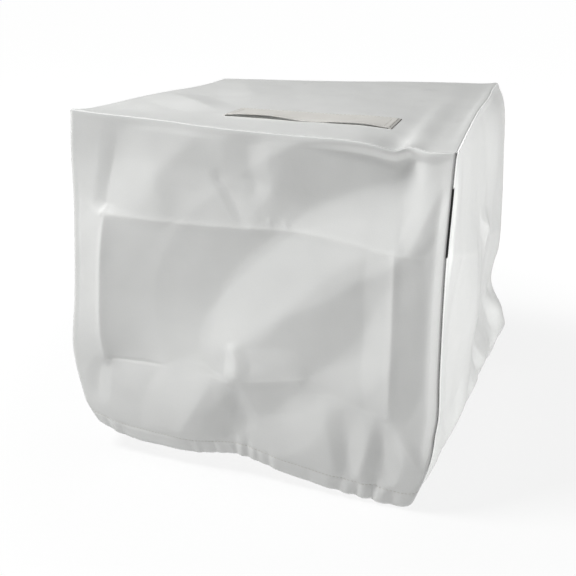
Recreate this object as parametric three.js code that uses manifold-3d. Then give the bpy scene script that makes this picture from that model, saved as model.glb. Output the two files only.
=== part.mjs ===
// A fitted box cover of pale coated cloth: a slotted top with a narrow flap, four walls and a gathered hem.
// It is hollow and hangs as it does over a squat box, its lower walls flared and its hem drawn in.
// Millimetres. X runs to the right, Y to the back and Z up, from the underside of the top's centre.
import * as THREE from "three";
import { mergeVertices } from "three/addons/utils/BufferGeometryUtils.js";
import Module from "manifold-3d";

// Driving sizes
const width = 440; // across the top, from side seam to side seam
const depth = 450; // front to back at the top
const drop = 415; // from the top to the hem, on average
const cloth = 1.5; // thickness of the coated cloth
const seamGap = 0.22; // how far each panel's edge is held back at a seam
const edgeCalm = 14; // folds die out over this distance from a sewn edge
const edgeFade = 3; // how quickly the shape of a top edge fades away from it: 1 is evenly
const hemFade = 6; // the same for the hem's edge
const hemCalm = 30; // folds inside the hem soften over this distance from its edge
const hemShare = 0.4; // the share of a fold's height that is left at the hem's edge
const cornerFall = 0.651; // how far the top sinks behind the raised front left corner
// How a fold follows its path: steps between the path's rows, and how softly its height and sides change
const foldShape = { pathSteps: 6, blur: 3, blend: 8, sideBlur: 0.5 };

// Rows and columns of each panel's mesh, closer together where the packing creases run
const wallRows = [
  { from: 0, to: 106, steps: 6 },
  { from: 106, to: 302, steps: 10 },
  { from: 302, to: drop, steps: 7 },
];
const acrossColumns = [
  { from: 0, to: 0.1, steps: 2 },
  { from: 0.1, to: 0.87, steps: 20 },
  { from: 0.87, to: 1, steps: 3 },
];
const alongColumns = [{ from: 0, to: 1, steps: 17 }];

// The four upright seams. At each level: how far the seam stands out sideways, and to the front or back,
// from the upright edge of a plain box.
const corners = {
  frontLeft: {
    side: -1, end: -1, rise: 16, lift: 12,
    rows: [
      { level: 0, sideways: -2, endways: 0 },
      { level: 45, sideways: 8, endways: -7 },
      { level: 95, sideways: 13, endways: -10 },
      { level: 145, sideways: 19, endways: -12 },
      { level: 230, sideways: 30, endways: -14 },
      { level: 295, sideways: 40, endways: -14 },
      { level: 330, sideways: 39, endways: -14 },
      { level: 358, sideways: 34, endways: -13 },
      { level: 388, sideways: 26, endways: -11 },
      { level: drop, sideways: 11, endways: -11 },
    ],
  },
  frontRight: {
    side: 1, end: -1, rise: -3, lift: 3,
    rows: [
      { level: 0, sideways: 1, endways: 0 },
      { level: 52, sideways: 0, endways: 0 },
      { level: 116, sideways: -1, endways: 0 },
      { level: 185, sideways: 0, endways: 0 },
      { level: 257, sideways: 2, endways: 0 },
      { level: 305, sideways: 4, endways: 0 },
      { level: 330, sideways: 2, endways: 0 },
      { level: 358, sideways: 0, endways: -1 },
      { level: 390, sideways: -6, endways: -6 },
      { level: drop, sideways: -15, endways: -14 },
    ],
  },
  backRight: {
    side: 1, end: 1, rise: 7, lift: -9,
    rows: [
      { level: 0, sideways: -3, endways: 0 },
      { level: 22, sideways: 8, endways: 2 },
      { level: 50, sideways: 13, endways: 3 },
      { level: 95, sideways: 16, endways: 4 },
      { level: 170, sideways: 21, endways: 5 },
      { level: 245, sideways: 23, endways: 8 },
      { level: 285, sideways: 15, endways: 10 },
      { level: 310, sideways: 15, endways: 12 },
      { level: 340, sideways: 27, endways: 13 },
      { level: 368, sideways: 42, endways: 14 },
      { level: 392, sideways: 36, endways: 9 },
      { level: drop, sideways: 26, endways: -2 },
    ],
  },
  backLeft: {
    side: -1, end: 1, rise: -5, lift: -2,
    rows: [
      { level: 0, sideways: -1, endways: 0 },
      { level: 50, sideways: 4, endways: 2 },
      { level: 150, sideways: 9, endways: 5 },
      { level: 250, sideways: 17, endways: 10 },
      { level: 325, sideways: 27, endways: 13 },
      { level: 378, sideways: 22, endways: 9 },
      { level: drop, sideways: 7, endways: -6 },
    ],
  },
};

// The edges of the top, between its corners. At each place along the side, measured from the side's middle:
// the height over the plain top, and how far the edge stands out.
const topEdges = {
  front: [
    { place: -187, height: 14, out: 1 },
    { place: -142, height: 12, out: 1 },
    { place: -99, height: 10, out: 1 },
    { place: -57, height: 7, out: 1 },
    { place: -16, height: 5, out: 1 },
    { place: 47, height: 3, out: 0 },
    { place: 106, height: 2, out: 0 },
    { place: 134, height: -1, out: 0 },
    { place: 158, height: -6, out: -2 },
    { place: 173, height: -2, out: -4 },
    { place: 194, height: -5, out: 0 },
  ],
  right: [
    { place: -120, height: -1, out: -2 },
    { place: 0, height: 2, out: -4 },
    { place: 90, height: 4, out: -2 },
    { place: 165, height: 5, out: -4 },
  ],
  back: [
    { place: -157, height: -4, out: 1 },
    { place: -89, height: -3, out: 2 },
    { place: -7, height: -1, out: 3 },
    { place: 72, height: 2, out: 3 },
    { place: 148, height: 4, out: 2 },
    { place: 200, height: 5, out: 1 },
  ],
  left: [
    { place: -190, height: 10, out: 6 },
    { place: -150, height: 6, out: 11 },
    { place: -82, height: 5, out: 6 },
    { place: -34, height: 3, out: 8 },
    { place: 10, height: 1, out: 8 },
    { place: 50, height: 0, out: 2 },
    { place: 100, height: -2, out: -4 },
    { place: 160, height: -4, out: -4 },
  ],
};

// The hem's edge, between its corners. Height is measured from the average hem.
const hemEdges = {
  front: [
    { place: -214, height: 4, out: -11 },
    { place: -197, height: -2, out: -11 },
    { place: -165, height: -7, out: -11 },
    { place: -125, height: -8, out: -11 },
    { place: -89, height: -8, out: -11 },
    { place: -65, height: -4, out: -11 },
    { place: -36, height: 1, out: -11 },
    { place: -15, height: 0, out: -11 },
    { place: 13, height: -7, out: -11 },
    { place: 37, height: -13, out: -11 },
    { place: 90, height: -21, out: -11 },
    { place: 154, height: -27, out: -11 },
    { place: 185, height: -28, out: -11 },
    { place: 199, height: -20, out: -12 },
  ],
  right: [
    { place: -190, height: 2, out: -9 },
    { place: -150, height: 2, out: -6 },
    { place: -100, height: 8, out: -2 },
    { place: -50, height: 5, out: 4 },
    { place: 0, height: 4, out: 9 },
    { place: 50, height: 4, out: 14 },
    { place: 100, height: 4, out: 19 },
    { place: 150, height: 3, out: 24 },
    { place: 195, height: -4, out: 27 },
  ],
  back: [
    { place: -170, height: -2, out: -8 },
    { place: -100, height: -8, out: -6 },
    { place: -20, height: -1, out: -8 },
    { place: 60, height: -5, out: -7 },
    { place: 150, height: -11, out: -6 },
    { place: 215, height: -9, out: -5 },
  ],
  left: [
    { place: -170, height: 3, out: 14 },
    { place: -90, height: -1, out: 12 },
    { place: 0, height: 5, out: 10 },
    { place: 90, height: 1, out: 12 },
    { place: 170, height: -2, out: 9 },
  ],
};

// The folds of each panel, seen from outside. A path's rows say where the fold runs, how far it stands out
// there, less than 0 for a trough, and how far it reaches to its right and to its left, for a path that runs
// down: for one that runs across, right is above it and left is below it. Across is measured from the
// panel's left side seen from outside, and down from its top edge, along the cloth. Hollow is 0 for a soft
// swell, 1 for straight sides and more for a crease with hollow sides. Round is the rounding of its crest.
const pathColumns = ["across", "down", "out", "right", "left"];
const frontFolds = [
  { name: "upper packing crease", hollow: 1.3, round: 1, path: [
    [2, 98, 0, 40, 30], [24, 104, 2.5, 50, 60], [48, 112, 5, 70, 90], [120, 112, 5, 70, 110],
    [216, 109, 5, 60, 110], [282, 107, 3.5, 40, 80], [340, 113, 1.5, 40, 60], [388, 117, 1, 30, 40],
    [434, 118, 0, 20, 20]] },
  { name: "left upright crease", hollow: 1.7, round: 1.5, path: [
    [48, 100, 0, 30, 20], [45, 125, 5.5, 70, 44], [40, 170, 8, 105, 42], [39, 220, 8, 105, 42],
    [42, 270, 6.5, 90, 42], [47, 304, 2.5, 40, 30], [49, 318, 0, 20, 20]] },
  { name: "trough beside the left corner", hollow: 1.2, round: 2, path: [
    [62, -4, 0, 30, 20], [60, 32, -1.2, 46, 18], [52, 67, -2.4, 50, 16], [46, 100, -2, 40, 14],
    [47, 114, 0, 20, 10]] },
  { name: "swell under the top edge", hollow: 1.2, round: 5, path: [
    [162, -4, 0, 40, 60], [150, 20, 2.5, 44, 60], [125, 45, 4, 50, 60], [112, 62, 5, 56, 54],
    [115, 82, 4, 50, 50], [132, 112, 0, 30, 40]] },
  { name: "small crease above the packing crease", hollow: 1.2, round: 1, path: [
    [182, 44, 0, 10, 8], [189, 58, -2, 24, 9], [202, 75, -2.6, 24, 10], [222, 110, 0, 10, 8]] },
  { name: "trough under the top edge", hollow: 1.1, round: 3, path: [
    [216, -4, 0, 24, 24], [219, 25, -2.4, 22, 26], [223, 45, -2.6, 20, 26], [229, 60, -2, 16, 24],
    [219, 80, 0, 10, 16]] },
  { name: "soft ridge in front of the slot", hollow: 1, round: 6, path: [
    [262, -4, 0, 40, 26], [256, 40, 1.6, 40, 26], [251, 75, 1, 30, 20], [248, 98, 0, 16, 12]] },
  { name: "great slanting trough", hollow: 1, round: 5, path: [
    [404, -2, 0, 24, 30], [394, 14, -7, 50, 36], [378, 31, -11, 70, 50], [340, 55, -13, 84, 62],
    [302, 74, -12, 90, 66], [276, 94, -9, 90, 70], [243, 124, -7, 84, 74], [208, 160, -6, 76, 76],
    [188, 200, -5, 70, 76], [181, 245, -3.5, 56, 64], [178, 292, 0, 30, 40]] },
  { name: "great slanting ridge", hollow: 1, round: 5, path: [
    [396, 108, 0, 24, 20], [352, 127, 3, 40, 40], [320, 151, 5, 64, 56], [289, 186, 6, 70, 62],
    [256, 220, 6, 74, 62], [230, 246, 6, 70, 56], [214, 261, 5, 60, 44], [216, 280, 4, 50, 34],
    [217, 298, 2.5, 40, 24], [217, 312, 0, 24, 16]] },
  { name: "short ridge below the slanting one", hollow: 1, round: 1, path: [
    [206, 254, 0, 10, 10], [212, 263, 2.4, 14, 12], [217, 277, 2.8, 15, 14], [216, 296, 2, 15, 14],
    [216, 306, 0, 10, 10]] },
  { name: "trough below the slanting ridge", hollow: 1.1, round: 6, path: [
    [348, 150, 0, 20, 20], [358, 175, -2, 26, 44], [363, 205, -3, 26, 60], [352, 240, -3.5, 34, 66],
    [322, 266, -3.5, 40, 70], [290, 290, 0, 30, 50]] },
  { name: "lower packing crease, left", hollow: 1.5, round: 1, path: [
    [44, 307, 0, 10, 10], [60, 306, -3, 90, 40], [100, 303, -3, 90, 40], [121, 301, -1, 40, 30],
    [132, 300, 0, 10, 10]] },
  { name: "lower packing crease, middle", hollow: 1.1, round: 1, path: [
    [162, 304, 0, 16, 20], [192, 305, 1.6, 24, 34], [206, 307, 2.6, 34, 40], [250, 296, 4, 44, 46],
    [284, 287, 3, 40, 40], [300, 282, 0, 10, 10]] },
  { name: "ridge over the low middle", hollow: 1, round: 3, path: [
    [192, 296, 0, 20, 20], [178, 325, 6, 40, 56], [156, 360, 7.5, 46, 60], [134, 390, 5, 46, 50],
    [126, 404, 2, 40, 40]] },
  { name: "low slanting trough", hollow: 1, round: 5, path: [
    [302, 284, 0, 16, 20], [280, 312, -4, 46, 44], [259, 337, -5, 50, 44], [232, 360, -5, 44, 40],
    [204, 386, -4, 34, 34], [194, 400, 0, 20, 20]] },
  { name: "right upright crease", hollow: 1, round: 1.5, path: [
    [386, 52, 0, 20, 20], [386, 110, 1.5, 24, 24], [387, 130, 3, 32, 30], [388, 200, 3.8, 34, 30],
    [388, 270, 3.5, 34, 30], [387, 306, 2, 24, 24], [386, 320, 0, 10, 10]] },
  { name: "trough beside the right seam", hollow: 1, round: 4, path: [
    [433, 20, 0, 8, 10], [430, 60, -3, 16, 24], [428, 110, -3.2, 18, 32], [424, 200, -4, 20, 34],
    [424, 300, -3.4, 20, 34], [427, 360, -1.5, 14, 24], [430, 396, 0, 10, 20]] },
  { name: "low soft ridge", hollow: 1, round: 4, path: [
    [316, 300, 0, 16, 30], [320, 330, 2, 18, 50], [326, 360, 2.6, 16, 50], [334, 392, 2.4, 14, 40],
    [336, 408, 1, 14, 30]] },
  { name: "low soft trough", hollow: 1, round: 4, path: [
    [334, 312, 0, 12, 14], [344, 350, -1.4, 18, 16], [352, 395, -2, 14, 14], [354, 408, 0, 12, 12]] },
  { name: "narrow low ridge, right", hollow: 1, round: 1.5, path: [
    [374, 308, 0, 8, 14], [370, 345, 2, 14, 20], [361, 395, 2.4, 14, 16], [358, 408, 0, 12, 12]] },
  { name: "narrow low trough, right", hollow: 1, round: 2, path: [
    [374, 312, 0, 8, 8], [386, 345, -3, 20, 16], [388, 376, -3.6, 20, 20], [385, 400, -3, 12, 18],
    [384, 414, 0, 8, 12]] },
  { name: "slanting low ridge, right", hollow: 1, round: 1, path: [
    [396, 324, 0, 6, 6], [412, 346, 2.2, 10, 14], [426, 365, 1.6, 10, 12], [434, 378, 0, 6, 6]] },
  { name: "left upright trough, low", hollow: 1, round: 2, path: [
    [50, 302, 0, 8, 8], [34, 330, -1.8, 16, 14], [26, 355, -1.8, 16, 14], [20, 378, 0, 10, 10]] },
];
const rightFolds = [
  { name: "upper packing crease, front", hollow: 1.3, round: 1, path: [
    [2, 112, 0, 40, 50], [16, 116, 4, 50, 70], [90, 140, 5, 60, 80], [160, 160, 3, 50, 60],
    [200, 172, 0, 40, 50]] },
  { name: "slanting trough", hollow: 1, round: 6, path: [
    [214, 70, 0, 50, 60], [180, 130, -3, 60, 60], [110, 205, -1, 60, 70], [80, 280, -1, 50, 60],
    [52, 330, 0, 40, 40]] },
  { name: "upright ridge", hollow: 1, round: 8, path: [
    [200, 90, 0, 80, 50], [180, 150, 6, 130, 90], [158, 220, 12, 190, 120], [146, 290, 12, 200, 120],
    [140, 345, 7, 140, 90], [136, 380, 0, 60, 40]] },
  { name: "trough behind the upright ridge", hollow: 1, round: 10, path: [
    [330, 190, 0, 60, 80], [322, 240, -6, 70, 120], [310, 300, -6, 70, 120], [300, 340, 0, 60, 70]] },
  { name: "short crease in the middle", hollow: 1.3, round: 0.8, path: [
    [244, 134, 0, 8, 8], [252, 154, 2.6, 44, 24], [258, 184, 2.6, 50, 24], [262, 202, 0, 8, 8]] },
  { name: "upper packing crease, back", hollow: 1.2, round: 1, path: [
    [218, 132, 0, 16, 16], [236, 146, 4, 24, 20], [280, 168, 5, 30, 26], [310, 184, 3, 40, 30],
    [390, 206, 2, 40, 40], [448, 224, 0, 40, 40]] },
  { name: "swell beside the front seam", hollow: 0, round: 8, path: [
    [10, 10, 0, 30, 20], [20, 60, 3, 50, 20], [26, 112, 0, 40, 20]] },
  { name: "shoulder at the back", hollow: 0, round: 10, path: [
    [330, 10, 0, 90, 80], [350, 70, 5, 90, 80], [372, 150, 0, 90, 80]] },
  { name: "lower packing crease", hollow: 1.2, round: 1.5, path: [
    [120, 276, 0, 40, 40], [180, 296, -3, 50, 40], [300, 340, -3, 50, 40], [380, 356, 0, 40, 30]] },
  { name: "puff over the hem", hollow: 0, round: 8, path: [
    [400, 300, 0, 50, 40], [404, 332, 15, 50, 40], [398, 376, 0, 50, 40]] },
  { name: "gather in the middle", hollow: 1, round: 2, path: [
    [196, 302, 0, 14, 14], [222, 338, -7, 22, 16], [252, 374, -8, 22, 18], [292, 410, -5, 18, 18]] },
  { name: "gather towards the front", hollow: 1, round: 2, path: [
    [146, 330, 0, 16, 16], [160, 362, -5, 20, 16], [180, 396, -5, 18, 16], [190, 414, 0, 14, 14]] },
  { name: "gather towards the back", hollow: 1, round: 2, path: [
    [330, 350, 0, 16, 16], [346, 380, -5, 20, 18], [362, 410, -4, 18, 18]] },
  { name: "swell over the hem", hollow: 0, round: 8, path: [
    [84, 318, 0, 50, 50], [100, 352, 5, 50, 50], [110, 396, 0, 50, 50]] },
];
const backFolds = [
  { name: "upper packing crease", hollow: 1.2, round: 2, path: [
    [14, 108, 0, 50, 70], [180, 104, 4, 50, 70], [424, 110, 0, 50, 70]] },
  { name: "lower packing crease", hollow: 1.2, round: 1.5, path: [
    [30, 304, 0, 30, 34], [190, 298, -3, 30, 34], [330, 306, 0, 30, 34]] },
  { name: "upright crease, left", hollow: 1.2, round: 2, path: [
    [56, 104, 0, 60, 40], [60, 200, 6, 60, 40], [54, 310, 0, 60, 40]] },
  { name: "upright crease, right", hollow: 1.2, round: 2, path: [
    [386, 108, 0, 40, 60], [380, 200, 6, 40, 60], [388, 316, 0, 40, 60]] },
  { name: "slanting trough", hollow: 1, round: 8, path: [
    [60, 10, 0, 60, 60], [120, 70, -10, 60, 60], [200, 130, -10, 60, 60], [250, 230, 0, 60, 60]] },
  { name: "slanting ridge", hollow: 1, round: 8, path: [
    [120, 150, 0, 60, 60], [190, 200, 7, 60, 60], [230, 280, 0, 60, 60]] },
  { name: "trough under the top edge", hollow: 1, round: 5, path: [
    [310, 4, -5, 30, 30], [300, 60, -5, 30, 30], [322, 96, 0, 30, 30]] },
  { name: "low ridge", hollow: 1, round: 4, path: [
    [268, 300, 0, 46, 46], [286, 350, 6, 46, 46], [292, 396, 0, 46, 46]] },
  { name: "low trough", hollow: 1, round: 4, path: [
    [160, 312, 0, 34, 34], [148, 350, -6, 34, 34], [150, 396, 0, 34, 34]] },
];
const leftFolds = [
  { name: "upper packing crease", hollow: 1.2, round: 2, path: [
    [14, 110, 0, 50, 70], [220, 104, 4, 50, 70], [436, 108, 0, 50, 70]] },
  { name: "lower packing crease", hollow: 1.2, round: 1.5, path: [
    [90, 300, 0, 30, 34], [250, 306, -3, 30, 34], [410, 303, 0, 30, 34]] },
  { name: "upright crease, front", hollow: 1.2, round: 2, path: [
    [404, 106, 0, 36, 70], [410, 200, 8, 36, 70], [416, 306, 0, 36, 70]] },
  { name: "slanting trough", hollow: 1, round: 8, path: [
    [390, 8, 0, 60, 56], [320, 70, -10, 60, 56], [240, 150, -10, 60, 56], [200, 250, 0, 60, 56]] },
  { name: "slanting ridge", hollow: 1, round: 8, path: [
    [340, 140, 0, 60, 60], [280, 210, 7, 60, 60], [250, 290, 0, 60, 60]] },
  { name: "soft trough, back", hollow: 0, round: 8, path: [
    [90, 20, 0, 50, 50], [110, 120, -6, 50, 50], [96, 260, 0, 50, 50]] },
  { name: "low ridge", hollow: 1, round: 4, path: [
    [150, 300, 0, 46, 46], [166, 350, 6, 46, 46], [172, 396, 0, 46, 46]] },
  { name: "low trough", hollow: 1, round: 4, path: [
    [300, 312, 0, 34, 34], [312, 350, -6, 34, 34], [310, 396, 0, 34, 34]] },
];
// On the top, across is measured from the left and down from the back edge.
const topFolds = [
  { name: "slanting ridge", hollow: 1.2, round: 3, path: [
    [2, 206, 0, 30, 40], [30, 238, 2.5, 34, 50], [60, 268, 3.5, 40, 50], [100, 306, 3, 36, 46],
    [140, 344, 0, 30, 30]] },
  { name: "crease behind the slot", hollow: 1, round: 4, path: [
    [30, 10, 0, 50, 40], [84, 110, 2, 60, 40], [130, 210, 2, 60, 40], [158, 300, 0, 40, 30]] },
  { name: "roll along the right seam", hollow: 0, round: 6, path: [
    [420, 20, 0, 18, 34], [421, 225, -2.5, 18, 34], [420, 434, 0, 18, 34]] },
  { name: "sag on the right", hollow: 0, round: 10, path: [
    [330, 60, 0, 80, 90], [342, 180, -2.5, 80, 90], [332, 290, 0, 80, 90]] },
  { name: "dip behind the front kink", hollow: 1, round: 4, path: [
    [366, 380, 0, 30, 34], [375, 413, -2.5, 30, 34], [384, 446, 0, 30, 34]] },
];

// Swell of the lower walls between the hem and the level where they hang clear
const skirt = { from: 200, fullest: 340, out: { front: 5, right: 3, back: 8, left: 6 } };

// The slot, and the flap sewn over it along its back edge and both ends
const slot = { x: 32, y: -129, length: 188, width: 13, height: 30, roundSteps: 6 };
// Curl says how much of the waves stands at the flap's free edge: 1 spreads them evenly over its width.
const flap = { left: -66, right: 137, front: -141, back: -82, thickness: 1.2, clearance: 0.5, curl: 1.6 };
const flapWave = [
  { place: -66, lift: 0 },
  { place: -58, lift: 1.2 },
  { place: -40, lift: 2.9 },
  { place: -8, lift: 3.3 },
  { place: 12, lift: 2 },
  { place: 28, lift: 0.4 },
  { place: 40, lift: 0.1 },
  { place: 58, lift: 0.1 },
  { place: 70, lift: 0.8 },
  { place: 90, lift: 1.5 },
  { place: 110, lift: 1.4 },
  { place: 128, lift: 0.4 },
  { place: 137, lift: 0 },
];
const flapColumns = 20;
const flapRows = 5;

const clothLook = { color: 0xd9d9d6, roughness: 0.55 };
const flapLook = { color: 0xd6d3cb, roughness: 0.6 };
const sameSpot = 1e-4; // corners closer than this are one corner

// A smooth value between the rows of a table, read at one place along its key column
function readTable(rows, key, column, place) {
  let i = 0;
  while (i + 2 < rows.length && place > rows[i + 1][key]) i++;
  const slopeAt = (k) => {
    const before = rows[Math.max(k - 1, 0)];
    const after = rows[Math.min(k + 1, rows.length - 1)];
    return (after[column] - before[column]) / (after[key] - before[key]);
  };
  const start = rows[i];
  const end = rows[i + 1];
  const span = end[key] - start[key];
  const t = THREE.MathUtils.clamp((place - start[key]) / span, 0, 1);
  const h = t * t * (3 - 2 * t);
  return start[column] * (1 - h) + end[column] * h
    + span * (slopeAt(i) * t * (1 - t) * (1 - t) - slopeAt(i + 1) * t * t * (1 - t));
}

// The steps of a row or column, as places along it
function stepPlaces(spans) {
  const places = [spans[0].from];
  for (const { from, to, steps } of spans)
    for (let i = 1; i <= steps; i++) places.push(from + ((to - from) * i) / steps);
  return places;
}

// The point of an upright seam at a level
function seamPoint(corner, level) {
  const { side, end, rise, lift, rows } = corners[corner];
  const down = level / drop;
  return new THREE.Vector3(
    side * (width / 2 + readTable(rows, "level", "sideways", level)),
    end * (depth / 2 + readTable(rows, "level", "endways", level)),
    -level + rise * (1 - down) ** edgeFade + lift * down ** edgeFade,
  );
}

for (const fold of [...frontFolds, ...rightFolds, ...backFolds, ...leftFolds, ...topFolds])
  fold.line = smoothPath(fold.path);

// The four walls. Each runs from its left corner to its right corner, seen from outside.
const walls = {
  front: { from: "frontLeft", to: "frontRight", out: [0, -1], run: [1, 0], folds: frontFolds },
  right: { from: "frontRight", to: "backRight", out: [1, 0], run: [0, 1], folds: rightFolds },
  back: { from: "backRight", to: "backLeft", out: [0, 1], run: [-1, 0], folds: backFolds },
  left: { from: "backLeft", to: "frontLeft", out: [-1, 0], run: [0, -1], folds: leftFolds },
};

// A point of a wall's top edge or hem edge, at a share of the way from its left corner to its right one
function edgePoint(name, tables, level, share) {
  const { from, to, out, run } = walls[name];
  const start = seamPoint(from, level);
  const end = seamPoint(to, level);
  const half = (out[0] ? width : depth) / 2;
  const lengthways = out[0] ? "y" : "x";
  const outward = out[0] ? "x" : "y";
  const sign = out[0] || out[1];
  const asRow = (p) => ({ place: p[lengthways], height: p.z + level, out: sign * p[outward] - half });
  const rows = [asRow(start), ...tables[name], asRow(end)].sort((a, b) => a.place - b.place);
  const place = THREE.MathUtils.lerp(start[lengthways], end[lengthways], share);
  const stand = sign * (half + readTable(rows, "place", "out", place));
  const height = readTable(rows, "place", "height", place) - level;
  return run[0] ? new THREE.Vector3(place, stand, height) : new THREE.Vector3(stand, place, height);
}

// A fold's path as places with named values, smooth between the rows that it was given
function smoothPath(rows) {
  const first = rows[0].map((value, k) => 2 * value - rows[1][k]);
  const last = rows[rows.length - 1].map((value, k) => 2 * value - rows[rows.length - 2][k]);
  const padded = [first, ...rows, last];
  const places = [];
  const between = (p0, p1, p2, p3, t) => 0.5 * (2 * p1 + (p2 - p0) * t
    + (2 * p0 - 5 * p1 + 4 * p2 - p3) * t * t + (3 * p1 - p0 - 3 * p2 + p3) * t ** 3);
  for (let i = 1; i + 2 < padded.length; i++)
    for (let step = 0; step < foldShape.pathSteps; step++)
      places.push(padded[i].map((value, k) =>
        between(padded[i - 1][k], value, padded[i + 1][k], padded[i + 2][k], step / foldShape.pathSteps)));
  places.push(rows[rows.length - 1]);
  return places.map((row) => Object.fromEntries(pathColumns.map((column, k) => [column, row[k]])));
}

// How far one fold lifts the cloth at a place on its panel
function foldLift(fold, across, down) {
  let nearest = Infinity;
  let side = 0;
  let pull = 0;
  const mixed = { out: 0, right: 0, left: 0 };
  for (let i = 0; i + 1 < fold.line.length; i++) {
    const start = fold.line[i];
    const end = fold.line[i + 1];
    const runAcross = end.across - start.across;
    const runDown = end.down - start.down;
    const length = Math.hypot(runAcross, runDown);
    const a = across - start.across;
    const d = down - start.down;
    const t = THREE.MathUtils.clamp((a * runAcross + d * runDown) / length ** 2, 0, 1);
    const distance = Math.hypot(a - t * runAcross, d - t * runDown);
    if (distance < nearest) {
      nearest = distance;
      side = (runAcross * d - runDown * a) / length;
    }
    // Near places on the path count for much and far ones for little, so the height changes softly.
    const weight = length / (distance + foldShape.blur) ** foldShape.blend;
    pull += weight;
    for (const key in mixed) mixed[key] += weight * THREE.MathUtils.lerp(start[key], end[key], t);
  }
  const lean = 0.5 + (0.5 * side) / (nearest + foldShape.sideBlur);
  const reach = THREE.MathUtils.lerp(mixed.right, mixed.left, lean) / pull;
  const rest = Math.max(1 - (Math.hypot(nearest, fold.round) - fold.round) / reach, 0);
  const profile = fold.hollow ? rest ** fold.hollow : THREE.MathUtils.smoothstep(rest, 0, 1);
  return (mixed.out / pull) * profile;
}

// A wall's cloth, halfway through its thickness
function wallPoint(name, share, level) {
  const { from, to, out, run, folds } = walls[name];
  const down = level / drop;
  const point = seamPoint(from, level).lerp(seamPoint(to, level), share);
  const edges = [[topEdges, 0, (1 - down) ** edgeFade], [hemEdges, drop, down ** hemFade]];
  for (const [tables, edgeLevel, weight] of edges) {
    const chord = seamPoint(from, edgeLevel).lerp(seamPoint(to, edgeLevel), share);
    point.addScaledVector(edgePoint(name, tables, edgeLevel, share).sub(chord), weight);
  }
  const length = run[0] ? width : depth;
  const calm = THREE.MathUtils.smoothstep(Math.min(share, 1 - share) * length, 0, edgeCalm)
    * THREE.MathUtils.smoothstep(level, 0, edgeCalm);
  const hemmed = hemShare + (1 - hemShare) * THREE.MathUtils.smoothstep(drop - level, 0, hemCalm);
  let lift = 0;
  for (const fold of folds) lift += foldLift(fold, share * length, level) * calm * hemmed;
  const swell = level < skirt.fullest
    ? THREE.MathUtils.smoothstep(level, skirt.from, skirt.fullest)
    : THREE.MathUtils.smoothstep(drop - level, 0, drop - skirt.fullest);
  lift += skirt.out[name] * swell * Math.sin(Math.PI * share);
  point.x += out[0] * lift;
  point.y += out[1] * lift;
  return point;
}

// The top's cloth, halfway through its thickness. East and north are shares of the way to the right and back.
function topPoint(east, north) {
  const front = edgePoint("front", topEdges, 0, east);
  const back = edgePoint("back", topEdges, 0, 1 - east);
  const left = edgePoint("left", topEdges, 0, 1 - north);
  const right = edgePoint("right", topEdges, 0, north);
  const frontLeft = seamPoint("frontLeft", 0);
  const frontRight = seamPoint("frontRight", 0);
  const backLeft = seamPoint("backLeft", 0);
  const backRight = seamPoint("backRight", 0);
  const frontChord = frontLeft.clone().lerp(frontRight, east);
  const backChord = backLeft.clone().lerp(backRight, east);
  const leftChord = frontLeft.clone().lerp(backLeft, north);
  const rightChord = frontRight.clone().lerp(backRight, north);
  const point = frontChord.clone().lerp(backChord, north);
  const west = 1 - east;
  const south = 1 - north;
  point.addScaledVector(front.sub(frontChord), south ** edgeFade);
  point.addScaledVector(back.sub(backChord), north ** edgeFade);
  point.addScaledVector(left.sub(leftChord), west ** edgeFade);
  point.addScaledVector(right.sub(rightChord), east ** edgeFade);
  // The raised front left corner falls away quickly: only the seams hold it up.
  const fall = west * south * (1 - west ** edgeFade) * (1 - south ** edgeFade);
  point.z -= cornerFall * corners.frontLeft.rise * fall;
  const toEdge = Math.min(east * width, west * width, north * depth, south * depth);
  const calm = THREE.MathUtils.smoothstep(toEdge, 0, edgeCalm);
  for (const fold of topFolds) point.z += foldLift(fold, point.x + width / 2, depth / 2 - point.y) * calm;
  return point;
}

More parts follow.
